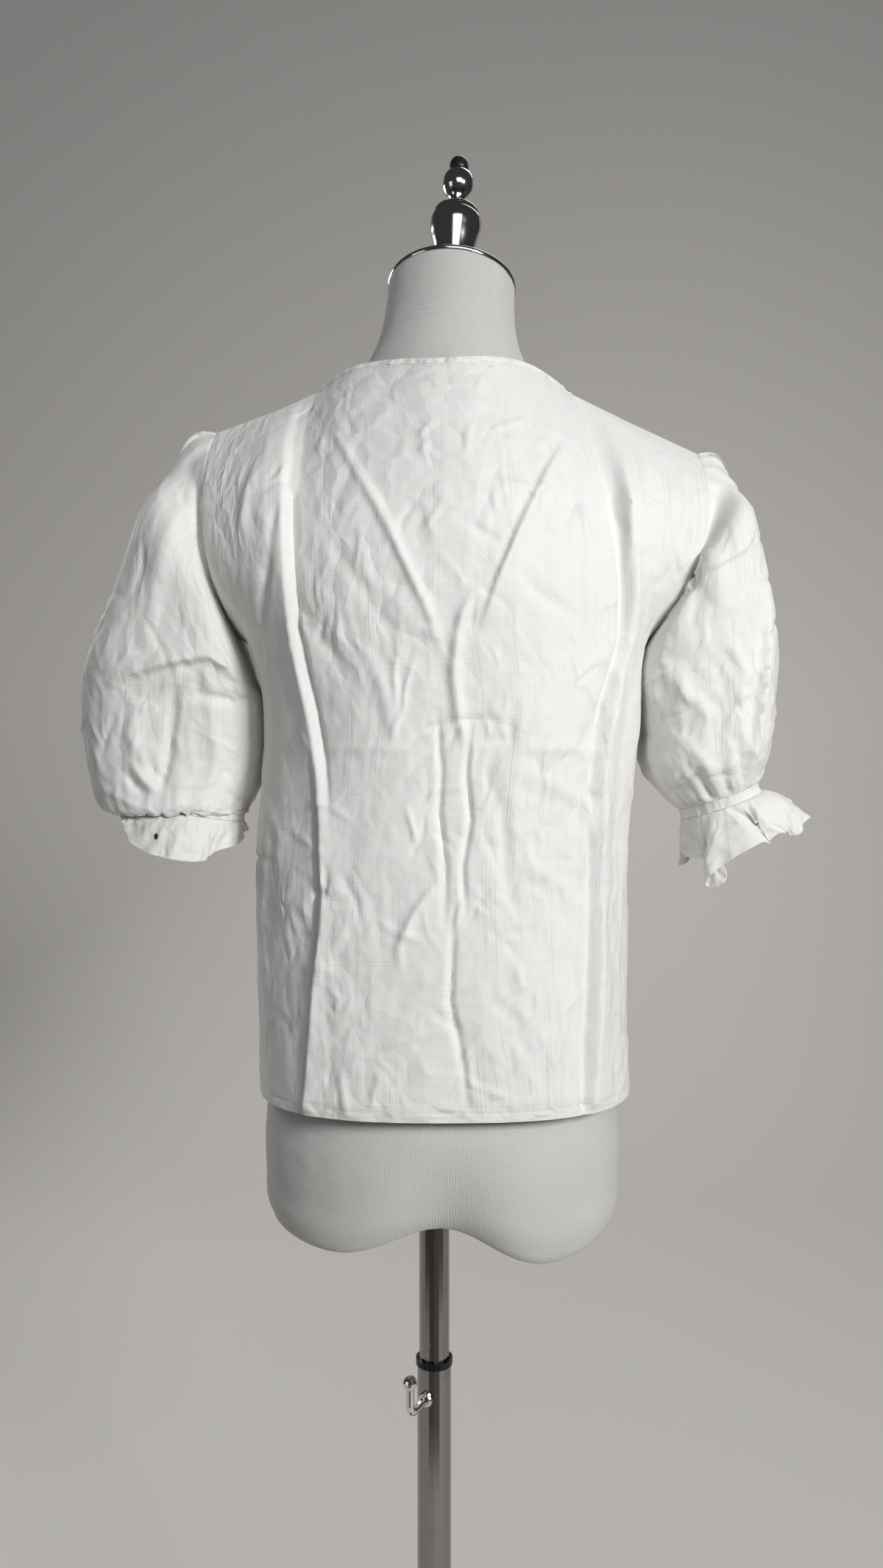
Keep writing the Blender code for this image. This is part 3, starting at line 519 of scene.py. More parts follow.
def edge_lengths(outer, axis):
    """Mean real length of the grid along one axis."""
    return float(np.linalg.norm(np.diff(outer, axis=axis), axis=2).sum(axis=axis).mean())


print("faces of a grid of 3 by 4 points", len(quads(np.arange(12).reshape(3, 4))))


# %% [markdown]
# ## The finishes
#
# Each finish is a small tree of nodes on the Principled shader. Cotton is a plain weave with thicker slub
# threads that run down the cloth in groups. The shader reads the flat UV map, so a sleeve's threads run
# along the sleeve.


# %% Cotton
def cotton_finish(name, tint, slub=1.0, crush=1.0):
    """White slub cotton; `slub` and `crush` set how strongly its threads and small creases show."""
    made, shader = plain_material(name, tint, 0.68)
    add = adder(made)
    flat = add("ShaderNodeUVMap", {"uv_map": "flat"}).outputs["UV"]
    warp = noise(add, flat, (900, 9, 1), 2.0)
    weft = noise(add, flat, (14, 700, 1), 1.0)
    groups = ramp(add, noise(add, flat, (46, 1.5, 1), 1.0), 0.4, 0.6, 0.45, 1.0)
    slubs = product(add, ramp(add, warp, 0.56, 0.74), groups)
    mottle = ramp(add, noise(add, flat, (9, 7, 1), 3.0), 0.3, 0.7, 0.965, 1.0)
    tinted(add, shader, tint, product(add, ramp(add, slubs, 0.0, 1.0, 1.0, 1.0 - 0.08 * slub), mottle))
    settle(shader, Roughness=ramp(add, warp, 0.3, 0.7, 0.58, 0.72), Subsurface_Weight=0.22,
           Subsurface_Radius=(0.003, 0.0028, 0.0025), Subsurface_Scale=1.0, Sheen_Weight=0.18,
           Sheen_Roughness=0.4, Specular_IOR_Level=0.35)
    weave = product(add, bands(add, flat, "X", 430.0, 2.5), bands(add, flat, "Y", 430.0, 2.5))
    small = add("ShaderNodeTexNoise", {"noise_type": "RIDGED_MULTIFRACTAL", "normalize": True},
                Vector=scaled(add, flat, (66, 38, 1)), Scale=1.0, Detail=5.0, Roughness=0.58, Distortion=0.7)
    masked = ramp(add, noise(add, flat, (7, 6, 1), 1.0), 0.36, 0.62, 0.25, 1.0)
    bent = add("ShaderNodeVectorMath", {"operation": "ADD"})
    fill(bent.inputs[0], scaled(add, flat, (34, 20, 1)))
    fill(bent.inputs[1], noise(add, flat, (30, 22, 1), 2.0).node.outputs["Color"])
    facets = add("ShaderNodeTexVoronoi", {"feature": "DISTANCE_TO_EDGE"}, Vector=bent.outputs["Vector"],
                 Scale=1.0)
    bump_chain(add, shader, [(product(add, small.outputs["Fac"], masked), 0.0026 * crush),
                             (product(add, facets.outputs["Distance"], masked), 0.004 * crush),
                             (slubs, 0.0002 * slub), (weft, 0.0002), (weave, 0.00008)])
    return made


def add_mark(made, place, size, tint):
    """A small stain on a finish: the place in metres, the half sizes, and the colour in its middle."""
    add = adder(made)
    base = made.node_tree.nodes["Principled BSDF"].inputs["Base Color"]
    spot = add("ShaderNodeMapping", {"vector_type": "TEXTURE"}, Location=place, Scale=size,
               Vector=own_place(add)).outputs["Vector"]
    far = add("ShaderNodeVectorMath", {"operation": "LENGTH"}, Vector=spot).outputs["Value"]
    share = ramp(add, far, 0.75, 1.05, 1.0, 0.0)
    fill(base, mixed(add, share, base.links[0].from_socket, (*tint, 1.0)))


cotton = cotton_finish("slub_cotton", (0.83, 0.82, 0.8))
marked_cotton = cotton_finish("marked_cotton", (0.83, 0.82, 0.8))
add_mark(marked_cotton, (-0.217, -0.05, 1.039), (0.002, 0.03, 0.0028), (0.035, 0.012, 0.012))
print("cotton nodes", len(cotton.node_tree.nodes))

# %% [markdown]
# ## The body of the blouse
#
# The back is one piece from the neck to the hem, and so is the front. Below the arms the two together are
# a tube. Above the underarm each goes on to its own upper edge: shoulder, neck, shoulder. The same short
# tables as the CAD's give this form. Along each row a place is a share of the half panel: -1 at the left
# edge, 1 at the right.

# %% Sizes of the body
CLOTH = 0.0013
HEM_Z = 0.836
HEM_BAND = 0.012
HEM_DEPTH = 0.0075
STITCH_UP = HEM_DEPTH - 0.0008
SEAM_GAP = 0.00015
UNDERARM_Z = 1.193
# Columns: z, centre_x, half_width, back, front, power
TUBE = [
    (0.836, 0.0088, 0.1493, 0.125, 0.118, 2.6),
    (0.9, 0.007, 0.15, 0.1235, 0.118, 2.5),
    (0.97, 0.0065, 0.1505, 0.121, 0.119, 2.4),
    (1.03, 0.0065, 0.1515, 0.119, 0.122, 2.35),
    (1.09, 0.012, 0.152, 0.118, 0.127, 2.3),
    (1.14, 0.015, 0.1545, 0.1175, 0.13, 2.3),
    (1.193, 0.01, 0.16, 0.117, 0.13, 2.3),
]
# Columns: share, x, y, z, leave_x, leave_y, leave_z, arrive_x, arrive_y, arrive_z
BACK_EDGE = [
    (-1.0, -0.18, 0.0, 1.371, -0.11, -0.225, 0.11, 0.01, 0.215, 0.15),
    (-0.543, -0.13, 0.0, 1.3895, -0.04, -0.11, 0.2, 0.01, 0.215, 0.11),
    (-0.433, -0.098, 0.0, 1.404, -0.01, -0.075, 0.22, 0.02, 0.17, 0.12),
    (-0.22, -0.06, -0.036, 1.4105, 0.0, -0.06, 0.23, 0.02, 0.11, 0.15),
    (0.0, 0.009, -0.066, 1.4045, 0.0, -0.055, 0.23, 0.0, 0.1, 0.18),
    (0.33, 0.074, -0.036, 1.412, 0.0, -0.06, 0.23, -0.02, 0.11, 0.15),
    (0.605, 0.114, 0.0, 1.403, 0.01, -0.075, 0.22, -0.02, 0.17, 0.12),
    (0.715, 0.164, 0.0, 1.3785, 0.04, -0.11, 0.2, -0.01, 0.215, 0.11),
    (1.0, 0.217, 0.0, 1.354, 0.125, -0.225, 0.11, -0.01, 0.215, 0.15),
]
FRONT_EDGE = [
    (-1.0, -0.18, 0.0, 1.371, -0.1, 0.2, 0.11, 0.01, -0.19, 0.15),
    (-0.8, -0.13, 0.0, 1.3895, -0.04, 0.08, 0.2, 0.01, -0.215, 0.11),
    (-0.6, -0.098, 0.0, 1.404, -0.01, 0.03, 0.22, 0.02, -0.19, 0.12),
    (-0.42, -0.066, 0.066, 1.35, 0.0, 0.01, 0.17, 0.0, -0.09, 0.13),
    (-0.2, -0.027, 0.112, 1.281, 0.0, 0.0, 0.09, 0.0, -0.02, 0.08),
    (0.0, 0.0085, 0.128, 1.226, 0.0, 0.0, 0.034, 0.0, -0.003, 0.033),
    (0.2, 0.044, 0.112, 1.281, 0.0, 0.0, 0.09, 0.0, -0.02, 0.08),
    (0.42, 0.083, 0.066, 1.35, 0.0, 0.01, 0.17, 0.0, -0.09, 0.13),
    (0.6, 0.114, 0.0, 1.403, 0.01, 0.03, 0.22, -0.02, -0.19, 0.12),
    (0.8, 0.164, 0.0, 1.3785, 0.04, 0.08, 0.2, -0.01, -0.215, 0.11),
    (1.0, 0.217, 0.0, 1.354, 0.1, 0.2, 0.11, -0.01, -0.19, 0.15),
]
NECK_ROWS = slice(2, -2)
# Columns: z, left, right
FOLDS = [
    (0.836, -0.42, 0.47), (0.93, -0.37, 0.52), (1.017, -0.348, 0.54), (1.08, -0.395, 0.522),
    (1.135, -0.46, 0.53), (1.193, -0.488, 0.66),
]
BACK_STOPS = (-1.0, -0.543, -0.433, -0.13, 0.17, 0.605, 0.715, 1.0)
BACK_COLUMNS = (26, 14, 30, 50, 44, 12, 24)
FRONT_STOPS = (-1.0, -0.6, 0.6, 1.0)
FRONT_COLUMNS = (31, 84, 31)
HEM_ROWS = 12
LOW_ROWS = 138
HIGH_ROWS = 92
SMOOTH_ROUNDS = 150
PANEL_SMALL_CREASES = 110
HALF_PANEL = 0.235
print("body from", HEM_Z, "to the underarm at", UNDERARM_Z)


# %% The body's surfaces
def tube_place(share, z, side):
    """A point on the oval at height z, a quarter turn each way from the middle of the back or front."""
    centre, half, back, front, power = np.moveaxis(read_table(TUBE, z), -1, 0)[1:]
    across, along = superellipse(share * math.pi / 2, half, back if side < 0 else front, power)
    return np.stack(np.broadcast_arrays(centre + across, side * np.abs(along), z), axis=-1)


def upper_edge(table, share):
    """A panel's upper edge: straight along each shoulder and curved round the neck."""
    knots = np.array(table)
    straight = np.stack([np.interp(share, knots[:, 0], knots[:, k]) for k in range(knots.shape[1])], axis=1)
    neck = knots[NECK_ROWS]
    inside = (share > neck[0, 0]) & (share < neck[-1, 0])
    return np.where(inside[:, None], read_table(neck, share), straight)


def split_stops(stops, counts):
    """Even columns between each two stops."""
    parts = [np.linspace(a, b, n, endpoint=False) for a, b, n in zip(stops, stops[1:], counts)]
    return np.append(np.concatenate(parts), stops[-1])


def follow_folds(shares, z, side):
    """Each column's place at each height, so that the same columns always lie on the two long folds."""
    if side > 0:
        return np.broadcast_to(shares, (len(z), len(shares))).copy()
    crest = read_table(FOLDS, z)[:, 1:]
    top = crest[-1]
    return np.array([np.interp(shares, (-1, *top, 1), (-1, *row, 1)) for row in crest])


def panel_surface(table, side):
    """The smooth form of a panel: tube rows to the underarm, then a cubic from each column to the upper edge.

    The two parts meet at a slight angle, so the rows are averaged with their neighbours, least at the side
    seams."""
    shares = split_stops(BACK_STOPS, BACK_COLUMNS) if side < 0 else split_stops(FRONT_STOPS, FRONT_COLUMNS)
    low_z = np.concatenate([np.linspace(HEM_Z, HEM_Z + HEM_BAND, HEM_ROWS, endpoint=False),
                            np.linspace(HEM_Z + HEM_BAND, UNDERARM_Z, LOW_ROWS + 1)])
    places = follow_folds(shares, np.concatenate([low_z, np.full(HIGH_ROWS, UNDERARM_Z)]), side)
    low = tube_place(places[:len(low_z)], low_z[:, None], side)
    edge = upper_edge(table, shares)
    step = np.linspace(0, 1, HIGH_ROWS + 1)[1:, None, None]
    points = np.concatenate([low, hermite(low[-1], edge[:, 4:7], edge[:, 1:4], edge[:, 7:10], step)])
    inward = np.clip((1 - np.abs(shares)) / 0.22, 0, 1)[None, :, None]
    fixed = points.copy()
    for _ in range(SMOOTH_ROUNDS):
        below, own, above = points[HEM_ROWS:-2], points[HEM_ROWS + 1:-1], points[HEM_ROWS + 2:]
        points[HEM_ROWS + 1:-1] = (below + 2 * own + above) / 4
    ease = inward ** 2 * (3 - 2 * inward)
    return places, fixed + (points - fixed) * ease


shares_back, back_form = panel_surface(BACK_EDGE, -1)
shares_front, front_form = panel_surface(FRONT_EDGE, 1)
print("back panel", back_form.shape, "up to", round(float(back_form[:, :, 2].max()), 4))

# %% [markdown]
# ## Creases of the back
#
# The back shows how the blouse was packed: two long folds from shoulder to hem, a large V where the
# front's neck opening pressed through, and the double line of a front edge below it. Each is one row in a
# table of paths.

# %% Crease tables
def in_metres(rows):
    """A crease table that is typed in millimetres, in metres."""
    return [(kind, width / 1000, height / 1000, [(x / 1000, z / 1000) for x, z in path])
            for kind, width, height, path in rows]


# Columns, in millimetres: kind, width, height, path of (x, z)
BACK_CREASES = in_metres([
    ("ridge", 3.4, 3.6, [(-83, 1362), (-69, 1337), (-38, 1279), (-3, 1204), (9, 1168)]),
    ("step", 6, 5.8, [(101, 1343), (84, 1312), (66, 1274), (47, 1229), (36, 1196)]),
    ("ridge", 4.2, 4.6, [(30, 1222), (18, 1190), (15, 1160), (19, 1126), (27, 1098)]),
    ("ridge", 2.8, -3, [(-19, 1108), (-6, 1120), (18, 1126), (44, 1128)]),
    ("ridge", 4, 1.4, [(-86, 1105), (-48, 1107), (-10, 1104)]),
    ("ridge", 4, 1.4, [(60, 1105), (98, 1107), (130, 1103)]),
    ("ridge", 2.4, -3.2, [(3, 1130), (6, 1090), (4, 1060), (9, 1018), (8, 975)]),
    ("ridge", 2.4, -3.6, [(26, 1122), (24, 1085), (27, 1055), (21, 1020), (23, 985)]),
    ("ridge", 2.5, -3.6, [(15, 990), (12, 922), (21, 880), (25, 848)]),
    ("ridge", 3.2, 3, [(3, 1008), (-14, 986), (-25, 962), (-23, 944)]),
    ("ridge", 6, 2.4, [(60, 1088), (89, 1080), (113, 1064), (121, 1030)]),
    ("ridge", 6, 2, [(58, 1026), (81, 1014), (101, 1002), (108, 985)]),
    ("ridge", 6, -2, [(-80, 1268), (-60, 1235), (-36, 1200), (-20, 1172)]),
    ("ridge", 5, -1.8, [(-98, 1215), (-84, 1188), (-62, 1160)]),
    ("ridge", 5, 1.8, [(-52, 1180), (-36, 1150), (-30, 1118)]),
    ("ridge", 4.5, -1.6, [(60, 1238), (78, 1218), (104, 1206)]),
    ("ridge", 6, 2, [(98, 1150), (112, 1166), (130, 1176), (142, 1196)]),
    ("ridge", 6, -3.6, [(140, 1180), (126, 1140), (110, 1100), (109, 1030), (106, 950), (104, 860)]),
    ("step", 5, 3, [(113, 1070), (117, 1055), (120, 1036)]),
    ("ridge", 3, 2.6, [(146, 1330), (150, 1290), (146, 1230)]),
    ("ridge", 5, 3.4, [(-140, 1100), (-128, 1050), (-134, 980), (-128, 900)]),
    ("ridge", 4, -2.8, [(-118, 1290), (-124, 1240), (-134, 1190), (-138, 1150)]),
    ("ridge", 5, 3, [(-135, 1330), (-142, 1300), (-146, 1270)]),
    ("ridge", 4.5, -1.8, [(34, 1100), (50, 1060), (52, 1010), (66, 975)]),
    ("ridge", 5.5, 1.6, [(-60, 985), (-78, 950), (-92, 915)]),
    ("ridge", 5, -1.5, [(40, 930), (62, 905), (72, 872)]),
    ("ridge", 5, -2.2, [(-56, 1412), (-72, 1388), (-80, 1362), (-78, 1340)]),
    ("ridge", 4, -1.6, [(-30, 1404), (-40, 1380), (-60, 1362)]),
])
FRONT_CREASES = in_metres([
    ("step", 6, 3, [(-85, 1330), (-92, 1200), (-80, 1020), (-88, 845)]),
    ("step", 6, 2.6, [(106, 845), (98, 1000), (110, 1180), (112, 1320)]),
    ("ridge", 5, 2.2, [(8, 1205), (10, 1120), (4, 1010), (10, 860)]),
    ("ridge", 6, 1.8, [(-95, 1105), (-40, 1109), (30, 1103), (100, 1107)]),
    ("ridge", 6, -2, [(-60, 1240), (-40, 1190), (-10, 1150)]),
    ("ridge", 6, 2, [(75, 1250), (50, 1200), (30, 1150)]),
    ("ridge", 5, -1.8, [(-60, 1020), (-30, 980), (-36, 930)]),
    ("ridge", 5, 1.8, [(60, 1000), (40, 950), (56, 900)]),
])
FOLD_HEIGHT = 0.0056
FOLD_DROP = {"left": 0.017, "right": 0.026}
FOLD_TURN = (1.05, 1.11)
print("creases", len(BACK_CREASES), "on the back and", len(FRONT_CREASES), "on the front")


# %% Heights of the back's creases
def fold_side(off, drop):
    """The section of a pressed fold: a slow rise to the crest, a sharp drop and a groove at its foot."""
    lift = np.where(off < 0, bell(off, drop), np.exp(-(np.abs(off) / 0.07) ** 1.4))
    return lift - 0.62 * bell(off + 1.9 * drop, 0.7 * drop)


def long_fold(shares, z, side_name):
    """One packing fold: the side lies on top, but at the left, up to the waist, the back's middle does."""
    column, inward = (1, 1) if side_name == "left" else (2, -1)
    off = (shares - read_table(FOLDS, z)[..., column]) * inward
    turned = np.clip((z - FOLD_TURN[0]) / (FOLD_TURN[1] - FOLD_TURN[0]), 0, 1) if side_name == "left" else 1.0
    drop = FOLD_DROP[side_name]
    fade = np.clip((1.385 - z) / 0.085, 0.3, 1.0)
    return FOLD_HEIGHT * (fold_side(off, drop) * (1 - turned) + fold_side(-off, drop) * turned) * fade


def edge_fade(shares, rows, foot=8, head=8):
    """0 on a panel's seams, growing to 1 inside, so that neighbouring pieces still meet."""
    side = np.clip((1 - np.abs(shares)) / 0.05, 0, 1)
    row = np.arange(rows)[:, None]
    ends = np.clip((row + 1) / foot, 0.25, 1) * np.clip((rows - 1 - row) / head, 0, 1)
    return side * ends


def panel_heights(form, shares, side, seed):
    """How far the cloth stands off its smooth form, in metres."""
    x, z = form[:, :, 0], form[:, :, 2]
    flat_x = shares * HALF_PANEL
    low = np.clip((1.36 - z) / 0.1, 0.35, 1.0)
    lift = crumple(flat_x + 1.0, z, seed) * low
    if side < 0:
        lift = lift + long_fold(shares, z, "left") + long_fold(shares, z, "right")
    lift = add_creases(lift, x, z, BACK_CREASES if side < 0 else FRONT_CREASES)
    small = scatter_creases(seed + 400, PANEL_SMALL_CREASES, (-0.15, 0.85), (0.16, 1.36))
    lift = add_creases(lift, x, z, small)
    lift = np.where(z > 1.3, np.maximum(lift, -0.0004), lift)
    return lift * edge_fade(shares, len(form))


def body_piece(name, form, shares, side, seed):
    """One panel of the blouse with its turned hem; the hem is double cloth, so its inner side lies deeper."""
    outward = form - np.array([0.008, 0.0, 0.0])
    outward[:, :, 2] = 0.03
    way = surface_ways(form, outward)
    lift = panel_heights(form, shares, side, seed)
    z = form[:, :, 2]
    groove = 0.0006 * bell(z - HEM_Z - STITCH_UP, 0.0009)
    pucker = 0.00035 * hills(shares * 60, z * 90, seed + 9) * np.clip((HEM_Z + 0.014 - z) / 0.006, 0, 1)
    lift = lift - groove + pucker
    outer = form + way * lift[:, :, None]
    outer[:HEM_ROWS + LOW_ROWS + 1, (0, -1), 1] = side * SEAM_GAP
    way[:, (0, -1), 1] = 0.0
    shoulder = np.abs(form[-1, :, 1]) < 1e-5
    outer[-1, shoulder, 1] = side * SEAM_GAP
    way[-1, shoulder, 1] = 0.0
    way = unit(way)
    hem = np.clip((HEM_Z + HEM_DEPTH - z) / 0.001, 0, 1)
    thick = CLOTH + 0.0011 * hem
    width = edge_lengths(outer[60:], 1)
    length = edge_lengths(outer, 0)
    flat_u = (shares + 1) / 2 * width
    flat_v = (np.arange(len(form)) / (len(form) - 1))[:, None] * length
    piece = add_cloth(name, outer, way, thick[:, :, None], False, flat_u, flat_v, cotton)
    print(name, "faces", len(piece.data.polygons), "mean width", round(width, 4),
          "mean length", round(length, 4))
    return piece, outer, way


back_panel, back_outer, back_way = body_piece("blouse_back", back_form, shares_back, -1, 11)
front_panel, front_outer, front_way = body_piece("blouse_front", front_form, shares_front, 1, 37)


# %% [markdown]
# ## Stitches
#
# The hem is held by one line of machine stitches, about three millimetres each. Every stitch is a short
# thread that dives into the cloth at both ends. A dashed line in the shader would be lighter, but it
# would cast no shadow.


# %% Stitch lines
STITCH_PITCH = 0.003
STITCH_LENGTH = 0.0023
THREAD_RADIUS = 0.00022
THREAD_SIDES = 6
SUNK = -0.0002


def add_stitches(name, path, ways):
    """One thread for each stitch along a path: four small rings, the end ones sunk into the cloth."""
    gone = running(np.linalg.norm(np.diff(path, axis=0), axis=1))
    starts = np.arange(STITCH_PITCH, gone[-1] - STITCH_PITCH, STITCH_PITCH)
    shares = np.array([0.0, 0.3, 0.7, 1.0])
    lifts = np.array([SUNK, THREAD_RADIUS, THREAD_RADIUS, SUNK])
    at = starts[:, None] + shares * STITCH_LENGTH
    places = np.stack([np.interp(at, gone, path[:, k]) for k in range(3)], axis=-1)
    ups = np.stack([np.interp(at, gone, ways[:, k]) for k in range(3)], axis=-1)
    across = unit(np.cross(unit(np.gradient(places, axis=1)), ups))
    angle = full_turn(THREAD_SIDES)
    ring = np.cos(angle)[:, None] * across[:, :, None] + np.sin(angle)[:, None] * ups[:, :, None]
    points = (places + ups * lifts[:, None])[:, :, None] + ring * THREAD_RADIUS
    index = np.arange(points.size // 3).reshape(len(starts), len(shares), THREAD_SIDES)
    index = np.concatenate([index, index[:, :, :1]], axis=2)
    faces, points = quads(index), points.reshape(-1, 3)
    centre = points[index[0, :2, :THREAD_SIDES].ravel()].mean(axis=0)
    if looks_back(points, faces[0], points[faces[0]].mean(axis=0) - centre):
        faces = faces[:, ::-1]
    uv = np.repeat(np.arange(faces.size)[:, None] * 0.0001, 2, axis=1)
    return fill_mesh(name, points, faces, uv, thread)


thread = cotton_finish("white_thread", (0.88, 0.875, 0.86), 0.3, 0.2)
hem_row = int(round(STITCH_UP / 0.001))
PANELS = {"back": (BACK_EDGE, shares_back, back_outer, back_way),
          "front": (FRONT_EDGE, shares_front, front_outer, front_way)}
hem_stitches, neck_stitches = {}, {}
for panel, (table, shares, outer, way) in PANELS.items():
    hem_stitches[panel] = add_stitches("hem_stitches_" + panel, outer[hem_row, 1:-1], way[hem_row, 1:-1])
for panel, (table, shares, outer, way) in PANELS.items():
    at_neck = (shares[-1] > table[2][0]) & (shares[-1] < table[-3][0])
    neck_stitches[panel] = add_stitches("neck_stitches_" + panel, outer[-2, at_neck], way[-2, at_neck])
print("stitch faces", [len(s.data.polygons) for s in (*hem_stitches.values(), *neck_stitches.values())])

# %% [markdown]
# ## Neck binding
#
# A narrow strip finishes the neck. Sewn round a curve it puckers every few millimetres, and that ripple
# is its most visible feature, so it is in the mesh and not only in the shader.


# %% Neck binding
BINDING_DEPTH = 0.0062
BINDING_ROWS = 9
BINDING_THICK = 0.0017


def neck_edge():
    """The neck's edge all round from both panels, its ways out and its ways toward the neck's middle."""
    edges, edge_ways = [], []
    for table, shares, outer, way in PANELS.values():
        inside = (shares[-1] >= table[2][0] - 1e-6) & (shares[-1] <= table[-3][0] + 1e-6)
        edges.append(outer[-1][inside])
        edge_ways.append(way[-1][inside])
    loop = np.concatenate([edges[0], edges[1][::-1][1:-1]])
    ways = np.concatenate([edge_ways[0], edge_ways[1][::-1][1:-1]])
    for at, pair in ((0, 0), (len(edges[0]) - 1, -1)):
        loop[at] = (edges[0][at] + edges[1][pair]) / 2
        ways[at] = edge_ways[0][at] + edge_ways[1][pair]
    ways = eased_ring(ways, 3)
    rise = unit(np.cross(along_ring(loop), ways))
    toward = np.array([0.0085, 0.0, 1.45]) - loop
    return loop, ways, rise * np.sign((rise * toward).sum(axis=1, keepdims=True))


neck_loop, neck_way, neck_rise = neck_edge()
neck_along = running(np.linalg.norm(np.roll(neck_loop, -1, axis=0) - neck_loop, axis=1))
share = np.linspace(0, 1, BINDING_ROWS)[:, None]
bulge = np.sin(share * math.pi)
swell = 0.0004 + 0.0003 * bulge ** 0.7
ripple = hills(neck_along[None, :-1] / 0.0042, share * 0.7 + 3.3, 71) * 0.0016 * bulge ** 0.5
rim_wave = hills(neck_along[None, :-1] / 0.006, 0.5, 72) * 0.0006 * share
binding_outer = (neck_loop - neck_rise * 0.0002 + neck_rise * (BINDING_DEPTH * share + rim_wave)[:, :, None]
                 + neck_way * (swell + ripple)[:, :, None])
binding_ways = np.broadcast_to(neck_way, binding_outer.shape).copy()
binding = add_cloth("neck_binding_cloth", binding_outer, binding_ways, BINDING_THICK, True,
                    neck_along[None, :], share * BINDING_DEPTH, cotton)
print("binding length", round(float(neck_along[-1]), 4), "faces", len(binding.data.polygons))

# %% [markdown]
# ## Puff sleeves
#
# Each sleeve is one piece, gathered into the armhole at its head and into a narrow elastic at its foot. A
# ring of points at the armhole and one at the elastic are joined by the rings of a short table. The
# gathers are ridges that start at each seam and die out into the puff.

# %% Sizes of the sleeves
# Columns: x, y, z, half_width, half_depth, tilt, power
SLEEVES = {
    "left": [
        (-0.1945, 0.006, 1.261, 0.0665, 0.07, 62.0, 2.7),
        (-0.203, 0.016, 1.2085, 0.07, 0.075, 40.0, 3.1),
        (-0.212, 0.024, 1.162, 0.078, 0.075, 14.0, 3.0),
        (-0.2145, 0.026, 1.1275, 0.0785, 0.071, 10.0, 3.0),
        (-0.215, 0.02, 1.088, 0.0715, 0.0635, 1.0, 2.7),
        (-0.2115, 0.006, 1.0575, 0.0545, 0.056, -2.0, 2.3),
        (-0.192, -0.004, 1.064, 0.037, 0.043, 10.0, 2.0),
    ],
    "right": [
        (0.218, 0.006, 1.2615, 0.061, 0.072, 57.0, 2.8),
        (0.219, 0.014, 1.22, 0.0615, 0.079, 34.0, 3.2),
        (0.2225, 0.02, 1.175, 0.061, 0.08, 22.0, 3.1),
        (0.2255, 0.02, 1.135, 0.0555, 0.078, 17.0, 2.9),
        (0.226, 0.014, 1.1035, 0.0515, 0.071, 14.0, 2.6),
        (0.23, 0.006, 1.0825, 0.041, 0.056, 14.0, 2.0),
        (0.2345, 0.0, 1.071, 0.034, 0.042, 20.0, 2.0),
    ],
}
SLEEVE_ROWS = 150
SLEEVE_WIDTH = 0.46
SLEEVE_HALF = 0.068
OVAL_POINTS = 1441
SLEEVE_SMALL_CREASES = 45
# Columns: ridges round the ring, height, drift; at the head, at the foot and fine ones at the foot
GATHERS = [(30, 0.004, 3), (19, 0.0062, 2), (41, 0.003, 1)]
OUTWARD = {"left": -1.0, "right": 1.0}
SLEEVE_CREASES = {
    "left": in_metres([
        ("ridge", 4.5, 3.4, [(-172, 1364), (-190, 1352), (-208, 1338)]),
        ("step", 9, 6.2, [(-262, 1156), (-236, 1168), (-207, 1176), (-176, 1181), (-156, 1166)]),
        ("ridge", 4, -5.6, [(-205, 1153), (-206, 1130), (-209, 1109), (-214, 1085), (-216, 1068)]),
        ("ridge", 3.2, -4, [(-246, 1090), (-236, 1078), (-226, 1072)]),
        ("ridge", 3.2, 4, [(-238, 1096), (-230, 1084), (-221, 1076), (-212, 1074)]),
        ("ridge", 3, -3.6, [(-226, 1104), (-222, 1090), (-213, 1080)]),
        ("ridge", 4.5, -3.2, [(-184, 1176), (-183, 1150), (-160, 1146), (-140, 1149)]),
        ("ridge", 7, 3.4, [(-186, 1340), (-198, 1290), (-214, 1240), (-222, 1195)]),
        ("ridge", 6, -3, [(-176, 1300), (-186, 1262), (-184, 1220)]),
        ("ridge", 6, 2.8, [(-232, 1150), (-240, 1120), (-226, 1090)]),
        ("ridge", 5, 3, [(-176, 1130), (-172, 1100), (-178, 1078)]),
    ]),
    "right": in_metres([
        ("ridge", 4.5, 3.4, [(196, 1352), (206, 1335), (214, 1310)]),
        ("step", 7, 6.6, [(262, 1232), (260, 1180), (254, 1130), (247, 1088)]),
        ("step", 6, 3.4, [(180, 1232), (212, 1246), (240, 1262), (250, 1280)]),
        ("ridge", 5, -3.2, [(236, 1120), (239, 1100), (242, 1080)]),
        ("ridge", 7, 3.4, [(204, 1280), (216, 1248), (224, 1205)]),
        ("ridge", 6, -3.4, [(190, 1262), (204, 1226), (198, 1190)]),
        ("ridge", 6, 3, [(180, 1172), (196, 1150), (218, 1132)]),
        ("ridge", 5.5, 2.8, [(226, 1200), (240, 1170), (238, 1140)]),
        ("ridge", 5, 2.6, [(192, 1120), (206, 1102), (222, 1086)]),
    ]),
}
print("sleeve rings", {name: len(rows) for name, rows in SLEEVES.items()})


# %% The sleeves' surfaces
def armhole_edge(column):
    """The armhole's edge: from the shoulder tip down the back, under the arm and up the front again."""
    start = HEM_ROWS + LOW_ROWS
    down, up = back_outer[start:, column][::-1], front_outer[start:, column]
    down_way, up_way = back_way[start:, column][::-1], front_way[start:, column]
    loop = np.concatenate([[(down[0] + up[-1]) / 2], down[1:-1], [(down[-1] + up[0]) / 2], up[1:-1]])
    ways = np.concatenate([[down_way[0] + up_way[-1]], down_way[1:-1],
                           [down_way[-1] + up_way[0]], up_way[1:-1]])
    return loop, eased_ring(ways, 4)


